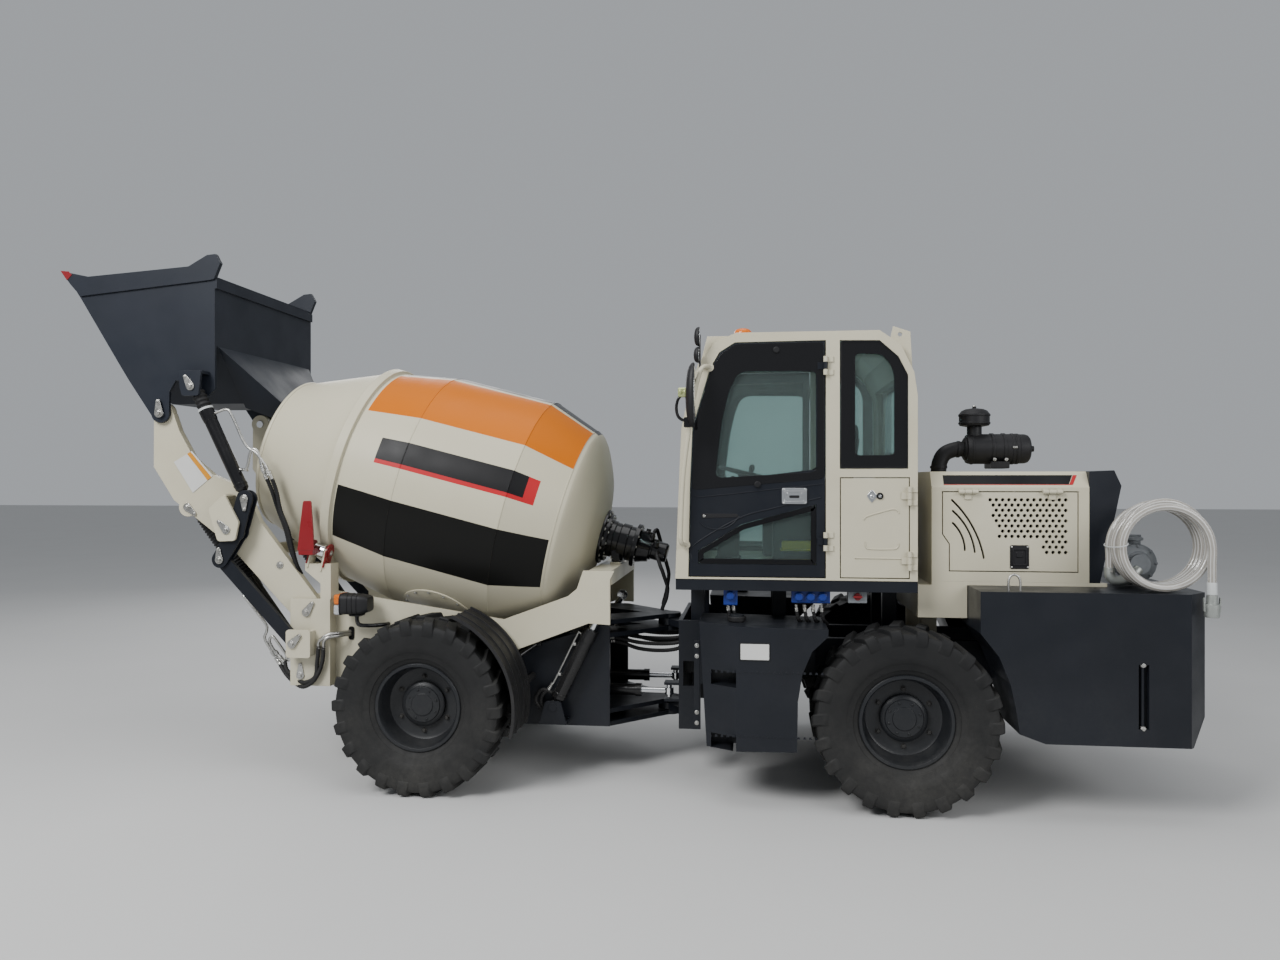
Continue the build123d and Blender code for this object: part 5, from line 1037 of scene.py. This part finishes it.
steering = [turned(np.column_stack([13 * np.sin(a), 177 + 13 * np.cos(a)]), wheel_hub, wheel_way, 72, True),
    *[carried([wheel_hub - wheel_way * 14, wheel_hub + 170 * (cos(t) * wheel_side + (0, sin(t), 0))], 11, 10)
    for t in (pi, pi / 3, -pi / 3)], turned([(-40, 20), (-40, 34), (-20, 52), (0, 54), (8, 48), (10, 10)],
    wheel_hub, wheel_way, 36), turned([(10, 8), (10, 15), (40, 20), (62, 14), (66, 4)],
    wheel_hub + 176 * np.array([0.2, -0.97, -0.05]), wheel_way, 24)]
build("steering_wheel", steering, dark_plastic, replaces="steering_column")
column_line = [(330, 1379), (480, 1379), (484, 1560), (470, 1620), (512, 1900), (452, 1930), (372, 1800),
    (340, 1580)]
column = [sheet_of(eased(column_line, 20), -84, 84, "y", 8), box_of((318, -96, 1379), (492, 96, 1400), 5),
    sheet_of(eased([(372, 1790), (470, 1900), (440, 1960), (336, 1850)], 16), -150, 150, "y", 10)]
build("steering_console", column, dark_plastic, replaces="steering_column")
dials = [turned([(0, 10), (0, 34), (5, 34), (7, 29), (7, 2)], (402, y, 1908), (-0.74, 0, 0.67), 28)
    for y in (-84, 0, 84)]
build("dials", dials, label_black)
consoles = [sheet_of(eased([(640, 1379), (1060, 1379), (1120, 1660), (1090, 1740), (690, 1740), (640, 1690)], 30),
    290, 400, "y", 12), sheet_of(eased([(700, 1379), (1060, 1379), (1110, 1660), (1080, 1700), (740, 1700),
    (700, 1650)], 30), -390, -290, "y", 12)]
for x, y in ((760, 345), (830, 345), (900, 345), (790, -340)):
    consoles += [carried([(x, y, 1700), (x - 8, y, 1800), (x - 20, y, 1850)], 6, 8),
        turned([(0, 6), (6, 16), (40, 20), (54, 15), (58, 4)], (x - 18, y, 1846), (-0.2, 0, 1), 20)]
build("arm_consoles", consoles, dark_plastic)
case_lid = [box_of((756, -500, 1486), (974, -410, 1536), 8), box_of((748, -506, 1476), (982, -404, 1490), 4)]
build("case_lid", case_lid, yellow_plastic)
build("case_box", [box_of((762, -494, 1379), (968, -416, 1478), 6)], dark_plastic)

# Hood: blank strip along its sloped edge, door latches, and black sheets of painted shade behind the grille and the
# slots
slope = 1.1827
low, high = 15 * slope, 73 * slope
for name, paint, outline in (("hood_strip_black", label_black, [(1712, low + 5), (2428, low + 5), (2458, high),
        (1712, high)]), ("hood_strip_red", label_red, [(1712, low), (2450, low), (2484, high), (2462, high),
        (2431, low + 4), (1712, low + 4)])):
    build(name, both(laid(outline, (0.0, -701.0, 1880.0), (1, 0, 0), (0, 60, 95), 0.8, 0.3)), paint)
spot = np.array([2145.0, 1467.0])
door_latch = [oblong_tile(spot, (108, 141, 10), -704, -698, 1.5), oblong_ring(spot, (84, 100, 10), (70, 86, 8),
    -710, -703), oblong_tile(spot + (0, 14), (40, 34, 8), -709, -702, 2)]
latch_screws = [turned([(0, 6), (3, 6), (4.5, 3)], (spot[0] + x, -704, spot[1] + z), near, 14) for x in (-46, 46)
    for z in (-60, 60)]
# A black sheet just inside each hood door: painted shade for the dark engine bay seen through the grille's slots.
grille_shade = [sheet_of([(1742, 1440), (2438, 1440), (2438, 1835), (1742, 1835)], -673, -671, "y", 0.5)]
for side in ("left", "right"):
    door = f"{side}_hood_door"
    for name, shapes, paint in (("latch", door_latch, dark_plastic), ("screws", latch_screws, zinc),
            ("grille_shade", grille_shade, painted_shade_black)):
        build(f"{door}_{name}", left_or_right(side, shapes), paint, door)

# Air cleaner: banded body, clip, rain bowl with its lips, elbow down to the engine, saddle
filter_y = -330.0
body_line = [(0, 20), (0, 60), (6, 70), (14, 72), (18, 88), (30, 93), (44, 95), (46, 98), (56, 98), (58, 95),
    (286, 95), (288, 98.5), (302, 98.5), (304, 94), (312, 94), (314, 97), (330, 97), (334, 93), (372, 92),
    (390, 86), (400, 74), (405, 50), (405, 20), (430, 18), (432, 8)]
bowl_line = [(0, 20), (0, 45), (56, 45), (60, 70), (64, 88), (72, 93), (76, 97), (84, 97), (86, 93), (122, 93),
    (124, 97), (134, 97), (140, 92), (158, 78), (168, 56), (173, 24), (173, 12), (184, 12), (185, 5)]
band_line = [(-8, 46), (-8, 53), (8, 53), (8, 46)]
elbow_line = [(1902, 2120), (1850, 2118), (1788, 2092), (1756, 2040), (1746, 1966)]
cleaner = [turned(body_line, (1898, filter_y, 2120), (1, 0, 0), 56), turned(bowl_line, (1968, filter_y, 2204),
    upward, 56), pipe(upright(filter_y, elbow_line), 48, 28), turned(band_line, (1868, filter_y, 2119),
    (-1, 0, 0.04), 32, True), turned(band_line, (1749, filter_y, 2006), upward, 32, True),
    *[turned([(-9, 94), (-9, 100), (9, 100), (9, 94)], (x, filter_y, 2120), (1, 0, 0), 48, True)
    for x in (2070, 2140)], box_of((2050, filter_y - 92, 1996), (2160, filter_y + 92, 2040), 4),
    *[box_of((x, filter_y - 60, 2030), (x + 16, filter_y + 60, 2110), 3) for x in (2062, 2132)]]
build("air_cleaner_shell", cleaner, dark_plastic, replaces="air_cleaner", angle=30)
clips = [oblong_tile((2192, 2128), (30, 12, 4), filter_y - 102, filter_y - 96, 1), *bolt((1968, filter_y, 2388),
    upward, 8, 8), *bolts(upright(filter_y - 96, [(2070, 2052), (2140, 2052)]), near, 7, 7)]
build("air_cleaner_clips", clips, zinc)

# Water pump: volute with its ports, finned motor on its foot, suction elbow with the hose's clamp
pump_x, pump_z = 2800.0, 1440.0
volute = [turned([(0, 30), (0, 64), (8, 70), (14, 96), (22, 108), (34, 112), (92, 112), (104, 108), (112, 96),
    (118, 88), (140, 88), (140, 40)], (pump_x, -742, pump_z), (0, 1, 0), 56),
    turned([(60, 34), (128, 34), (132, 48), (146, 48), (150, 36), (164, 36), (164, 22)], (pump_x, -672, pump_z),
    upward, 32), turned([(-26, 44), (-26, 58), (-14, 60), (0, 60), (4, 40), (20, 36)], (pump_x, -742, pump_z - 4),
    (0, 1, 0), 36), *bolts([(pump_x + 98 * cos(spot), -728, pump_z + 98 * sin(spot)) for spot in even(8)], near, 7,
    8)]
build("pump_volute", volute, grey_iron, replaces="water_pump")
elbow = pipe([(pump_x - 10, -762, pump_z - 30), (pump_x - 60, -780, pump_z - 76), (2710, -790, 1350),
    (2650, -796, 1346), (2622, -796, 1372), (2620, -796, 1420)], 29, 24)
build("pump_elbow", [elbow], cast_aluminium, replaces="water_pump")
motor_boxes = ((70, -700, -450, 1312, 1334, 3), (50, -690, -640, 1330, 1400, 4), (34, -520, -470, 1500, 1534, 6))
motor = [turned([(0, 20), (0, 74), (12, 80), (20, 72), (168, 72), (176, 66), (184, 40), (184, 12)],
    (pump_x, -604, pump_z), (0, 1, 0)), *[turned([(0, 60), (0, 84), (5, 84), (5, 60)], (pump_x, y, pump_z),
    (0, 1, 0), 36, True) for y in np.arange(-590, -440, 15.0)],
    *[box_of((pump_x - half, y0, z0), (pump_x + half, y1, z1), edge) for half, y0, y1, z0, z1, edge in motor_boxes]]
build("pump_motor", motor, dark_plastic, replaces="water_pump")
hose_clamps = [turned([(-7, 23), (-7, 26), (7, 26), (7, 23)], (2620, -796, z), upward, 32, True)
    for z in (1398, 1414)]
build("hose_clamps", [*hose_clamps, *bolt((2620, -824, 1398), near, 6, 8)], zinc)

# Fuel and hydraulic tanks: blank plate in its frame, filler caps, step teeth, side flange with its bolts
plate_at = np.array([588.5, 924.0])
build("tank_plate", both(oblong_tile(plate_at, (165, 92, 5), -1004, -999, 0.8)), label_white)
build("tank_plate_frame", both(oblong_ring(plate_at, (176, 104, 8), (163, 90, 5), -1003, -998)), label_black)
filler = turned([(0, 10), (0, 46), (16, 46), (18, 56), (40, 56), (46, 50), (48, 20)], (480, -800, 1058), upward, 36)
build("filler_caps", both(filler), dark_plastic)
tooth = sheet_of([(-9, 0), (9, 0), (5, 13), (-5, 13)], -4, 0, "y", 0.8)
teeth = [spread(tooth, [(x, -998, z) for x in np.arange(330, 1180, 34.0)]) for z in (424, 799)]
build("step_teeth", both(*teeth, box_of((222, -806, 430), (256, -790, 950))), charcoal_paint)
flange_heads = bolts([(239, -806, z) for z in (921, 857, 516, 452)], near, 9, 8)
build("tank_flange_bolts", both(*flange_heads), zinc)
valves = [box_of((400, -794, 1166), (484, -706, 1265), 4), box_of((807, -794, 1186), (1035, -706, 1265), 4),
    *[turned([(0, 12), (0, 26), (10, 28), (12, 22), (26, 22), (28, 14)], (x, -794, 1226), near, 20)
    for x in (441, 850, 920, 990)]]
build("valve_blocks", valves, blue_paint)
build("switch_plate", [box_of((1140, -796, 1190), (1250, -786, 1263), 3)], grey_iron)
key = [turned([(0, 8), (0, 22), (8, 22), (10, 16), (10, 6)], (1195, -796, 1230), near, 28),
    oblong_tile((1195, 1230), (52, 14, 5), -820, -806, 2)]
build("battery_key", key, red_paint)
valve_fittings, valve_hoses = [], []
for x, low in ((425, 1020), (458, 1030), (835, 1050), (885, 1040), (935, 1050), (985, 1040)):
    valve_fittings += fitting((x, -750, 1172), (x + 3, -750, 1130))
    valve_hoses.append(hose([(x + 3, -750, 1134), (x + 14, -744, 1084), (x + 30, -700, 1060), (x + 44, -640, low)],
        11))
build("valve_fittings", valve_fittings, zinc)
build("valve_hoses", valve_hoses, rubber)

# Water tank: level tube with its end bolts and the chrome handle; lamps on the rear bumper
build("level_tube", both(turned([(0, 8), (356, 8)], (2716, -1012, 548), upward, 16)), pale_trim)
handle_line = [(2012, 1296), (2012, 1350), (2022, 1378), (2044, 1389), (2066, 1378), (2076, 1350), (2076, 1296)]
ends = [*[turned([(-14, 6), (-14, 16), (14, 16), (16, 8)], (2716, -1012, z), upward, 20) for z in (548, 904)],
    *bolts([(2716, -1026, z) for z in (548, 904)], near, 10, 8), pipe(upright(-980, handle_line), 7, 14)]
build("level_tube_ends", both(*ends), zinc)
lens = [(0, 6), (0, 40), (3, 42), (9, 38), (13, 24), (14, 6)]
for name, y, paint in (("tail_lights", -695, red_lens), ("turn_lights", -795, amber_lens)):
    build(name, both(turned(lens, (3116, y, 1180), (1, 0, 0), 36)), paint)

# Hydraulic pipes on the loader arm and its cylinders, with fittings and sleeved hoses
pipe_foot = [(0, 10), (0, 24), (12, 24), (14, 16)]
crowd_pipes = [pipe([(-2925, -722, 2362), (-2850, -722, 2385), (-2810, -722, 2350), (-2716, -722, 2160),
    (-2640, -722, 2100), (-2575, -722, 2020), (-2560, -720, 1985)], 9, 12),
    pipe([(-2770, -722, 1996), (-2716, -722, 1992), (-2696, -722, 2030), (-2684, -722, 2092), (-2660, -722, 2126),
    (-2630, -722, 2110), (-2612, -722, 2060), (-2600, -718, 1996)], 9, 12),
    turned([(0, 10), (0, 22), (12, 22), (14, 16)], (-2718, -722, 1984), (0.2, 0, 1), 20),
    *fitting((-2610, -720, 2050), (-2596, -712, 1980), 14), *fitting((-2576, -721, 2020), (-2556, -712, 1950), 14)]
build("crowd_pipes", both(*crowd_pipes), zinc, "crowd_barrels")
arm_fittings, arm_hoses = [], []
for shift, y in ((0, -640), (30, -668)):
    arm_fittings += fitting((-2594 + shift * 1.3, -712, 1984), (-2578 + shift * 1.2, -700, 1930), 13)
    arm_hoses.append(hose([(-2579 + shift * 1.2, -700, 1936), (-2552 + shift, -680, 1850), (-2530 + shift, y, 1725),
        (-2480 + shift, y, 1600), (-2452 + shift, y + 6, 1480), (-2420 + shift * 0.6, y + 20, 1380),
        (-2400 + shift * 0.4, y + 60, 1300)]))
build("arm_hose_fittings", both(*arm_fittings), zinc, "loader_arm")
build("arm_hoses", both(*arm_hoses), rubber, "loader_arm")
long_bend = [(-2776, 1140), (-2640, 980), (-2624, 930), (-2640, 880), (-2622, 838), (-2580, 776)]
short_bend = [(-2487, 768), (-2570, 876), (-2594, 884), (-2606, 858), (-2592, 824), (-2560, 778)]
lift_pipes = [pipe([(-2790, -600, 1156), *upright(-614, long_bend)], 9, 12),
    pipe([(-2475, -604, 747), *upright(-614, short_bend)], 9, 12), turned(pipe_foot, (-2796, -562, 1150), near, 20),
    turned(pipe_foot, (-2476, -600, 747), near, 20)]
build("lift_pipes", both(*lift_pipes), zinc, "lift_barrels")
lift_loop, elbows = [], []
for shift in (0, 34):
    lift_loop.append(hose([(-2530 + shift, -618, 706 + shift * 0.6), (-2470, -640, 640 + shift),
        (-2400, -660, 592 + shift), (-2320, -700, 580 + shift * 0.8), (-2240, -715, 634 + shift * 0.4),
        (-2190 - shift, -718, 740), (-2180 - shift, -718, 850)]))
    level = 912 + shift * 0.5
    elbows.append(pipe([(-2180 - shift, -718, 830), (-2176 - shift, -718, 880), (-2150, -712, level - 6),
        (-2100, -680, level), (-2050, -600, level)], 12, 12))
lift_bend = build("lift_hoses", both(*lift_loop), rubber, None)
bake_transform(lift_bend)
build("lift_elbows", both(*elbows), zinc, "drum_frame")
lift_ends = [*fitting((-2590, -614, 790), (-2524, -616, 700), 14), *fitting((-2566, -614, 790), (-2500, -618, 720),
    14)]
build("lift_fittings", both(*lift_ends), zinc, "lift_barrels")
# A black tile on each side of the frame: painted shade for the slot where the lift hoses go in.
build("hose_slot_shade", both(oblong_tile((-2043, 919), (38, 88, 18), -603, -598, 1)), painted_shade_black, "drum_frame")

# Blank plate on the arm with its amber strip, plug bolt
arm_plate = np.array([(-3130, 2117), (-2981, 1951), (-3123, 1838), (-3258, 2044)], float)
build("arm_plate", both(sheet_of(arm_plate, -656.5, -654, "y", 0.5)), label_white, "loader_arm")
left_edge, right_edge = arm_plate[3] - arm_plate[0], arm_plate[2] - arm_plate[1]
amber_line = [arm_plate[0] + left_edge * 0.07, arm_plate[1] + right_edge * 0.07, arm_plate[1] + right_edge * 0.26,
    arm_plate[0] + left_edge * 0.26]
build("arm_plate_strip", both(sheet_of(amber_line, -657.5, -656, "y", 0.3)), label_amber, "loader_arm")
build("arm_plugs", both(*bolt((-2511, -655, 1365), near, 16, 14)), zinc, "loader_arm")

# Bucket: worn red strip along the lip and on the fronts of its side plates
lip = laid([(0, -660), (94, -660), (94, 660), (0, 660)], (bucket_pin[0] - 708, 0, bucket_pin[1] + 961),
    (53, 0, -79), (0, 1, 0), 1.5, 0.3)
side_face = 692.0
lip_side = sheet_of(np.array([(-711, 963), (-650, 957), (-628, 934), (-664, 898)]) + bucket_pin, -side_face - 3,
    -side_face, "y", 0.5)
build("lip_wear", [lip, *both(lip_side)], red_paint, "bucket")

# Front lamps: tapered housings with a two-part lens, on bent tubes
lamp_start = np.array([-1860.0, -720.0, 1128.0])


def lamp_box(station, half_y, half_z):
    """One ring of a lamp's housing: a rounded rectangle across x at a station."""
    flat = eased([(-half_y, -half_z), (half_y, -half_z), (half_y, half_z), (-half_y, half_z)],
        min(half_y, half_z) * 0.5)
    return np.column_stack([np.full(len(flat), station), flat[:, 0], flat[:, 1]])


def lamp_form(rows, shift=0):
    """Rings of a lamp's housing or lens, from its station backwards, half width and half height."""
    return rings(np.stack([lamp_box(*row) for row in rows]) + lamp_start + (0, 0, shift))


housing = [lamp_form([(0, 30, 26), (-2, 52, 44), (-20, 62, 54), (-60, 68, 60), (-176, 76, 65), (-176, 80, 68),
    (-182, 80, 68), (-184, 76, 64)]),
    *[lamp_form([(s, 70 - s * 0.05, 61 - s * 0.03), (s - 6, 70 - s * 0.05, 61 - s * 0.03)])
    for s in (-70.0, -100.0, -130.0)], box_of((-1990, -760, 1052), (-1914, -680, 1064), 3),
    *bolt((-1952, -720, 1050), down, 12, 12)]
lens_rows = [(-180, 78, 32), (-206, 78, 32), (-216, 72, 30), (-220, 60, 24)]
lamp_tube = pipe([(-1952, -720, 1064), (-1952, -720, 1020), (-1936, -716, 992), (-1880, -700, 986),
    (-1806, -640, 985), (-1790, -600, 985)], 13, 14)
for name, shapes, paint in (("lamp_housings", housing, dark_plastic),
        ("lamp_lens_amber", [lamp_form(lens_rows, 33)], amber_lens),
        ("lamp_lens_white", [lamp_form(lens_rows, -33)], clear_lens), ("lamp_tubes", [lamp_tube], gloss_black)):
    build(name, both(*shapes), paint, "drum_frame", replaces="front_lamps")

# Tilt cylinders' pipe along the barrel and its hose; fender stays with their clamps
tilt_way = unit((tilt_eye[0] - tilt_base[0], 0, tilt_eye[1] - tilt_base[1]))
tilt_out = np.array([-tilt_way[2], 0, tilt_way[0]])


def tilt_at(station, out):
    """A point beside a tilt cylinder: along it from its base, and outwards from its axis."""
    return (tilt_base[0], -520, tilt_base[1]) + tilt_way * station + tilt_out * out


tilt_line = [(500, 48), (500, 66), (470, 70), (160, 70), (120, 76)]
tilt_pipe = [pipe([tilt_at(*spot) for spot in tilt_line], 7, 12, 8),
    *[box_of(tilt_at(s, 58) - 9, tilt_at(s, 58) + 9) for s in (200, 420)], *fitting(tilt_at(128, 75),
    tilt_at(76, 80))]
build("tilt_pipes", both(*tilt_pipe), zinc, "tilt_barrels")
tilt_hoses = [hose([tilt_at(*spot) for spot in line], 12) for line in ([(80, 80), (20, 100), (-30, 80), (-50, 20),
    (-20, -40)], [(70, 48), (60, 110), (20, 130), (-30, 120), (-60, 60)])]
build("tilt_hoses", both(*tilt_hoses), rubber, "tilt_barrels")
stay = [carried([(-1021, -640, 720), (-821, -455, 858)], 17, 16), box_of((-836, -480, 834), (-800, -430, 886), 4),
    *bolts([(-818, -480, 870), (-818, -480, 848)], near, 9, 9)]
build("fender_stays", both(*stay), gloss_black, "front_module")

# Hoses across the articulation: each sags between the two halves and rides on neither; its end fittings ride on the
# halves
bridge_hoses, bridge_ends = [], {"front_module": [], "rear_module": []}
for y, z, droop in ((-236, 866, 40), (-206, 836, 60), (-150, 880, 30), (150, 880, 30), (206, 836, 60),
        (236, 866, 40)):
    bridge_hoses.append(hose([(-370, y, z), (-300, y, z - droop * 0.2), (-190, y * 0.98, z - droop * 0.8),
        (-60, y * 0.95, z - droop), (60, y * 0.95, z - droop * 0.8), (140, y, z - droop * 0.1)]))
    bridge_ends["front_module"] += fitting((-410, y, z), (-350, y, z), 14)
    bridge_ends["rear_module"] += fitting((190, y, z), (130, y, z - 3), 14)
bridge = build("bridge_hoses", bridge_hoses, rubber, None)
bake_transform(bridge)
for body, shapes in bridge_ends.items():
    build(f"{body}_hose_ends", shapes, zinc, body)

# CAD nodes that keep their shape, each with its finish
kept_nodes = {cream_paint: ["cab_shell", "rear_deck", "engine_hood", "drum_frame", "loader_arm", "left_hood_door",
        "right_hood_door", "left_locker_door", "right_locker_door"],
    charcoal_paint: ["rear_frame", "fuel_tank", "hydraulic_tank", "water_tank", "hood_rear_cap", "front_frame",
        "rockers", "level_links", "left_cab_door", "right_cab_door"], bucket_paint: ["bucket"],
    gloss_black: ["left_steering_barrel", "right_steering_barrel"],
    chrome: ["left_steering_rod", "right_steering_rod", "bucket_pins"],
    black_iron: ["rear_axle", "front_axle", "engine_block"],
    tinted_glass: ["cab_glass", "left_door_glass", "right_door_glass"],
    dark_plastic: ["front_fenders", "rear_lamps"]}
for material, names in kept_nodes.items():
    for name in names:
        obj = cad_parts[name]
        for holder in obj.material_slots:
            holder.material = material
        if not obj.material_slots:
            obj.data.materials.append(material)
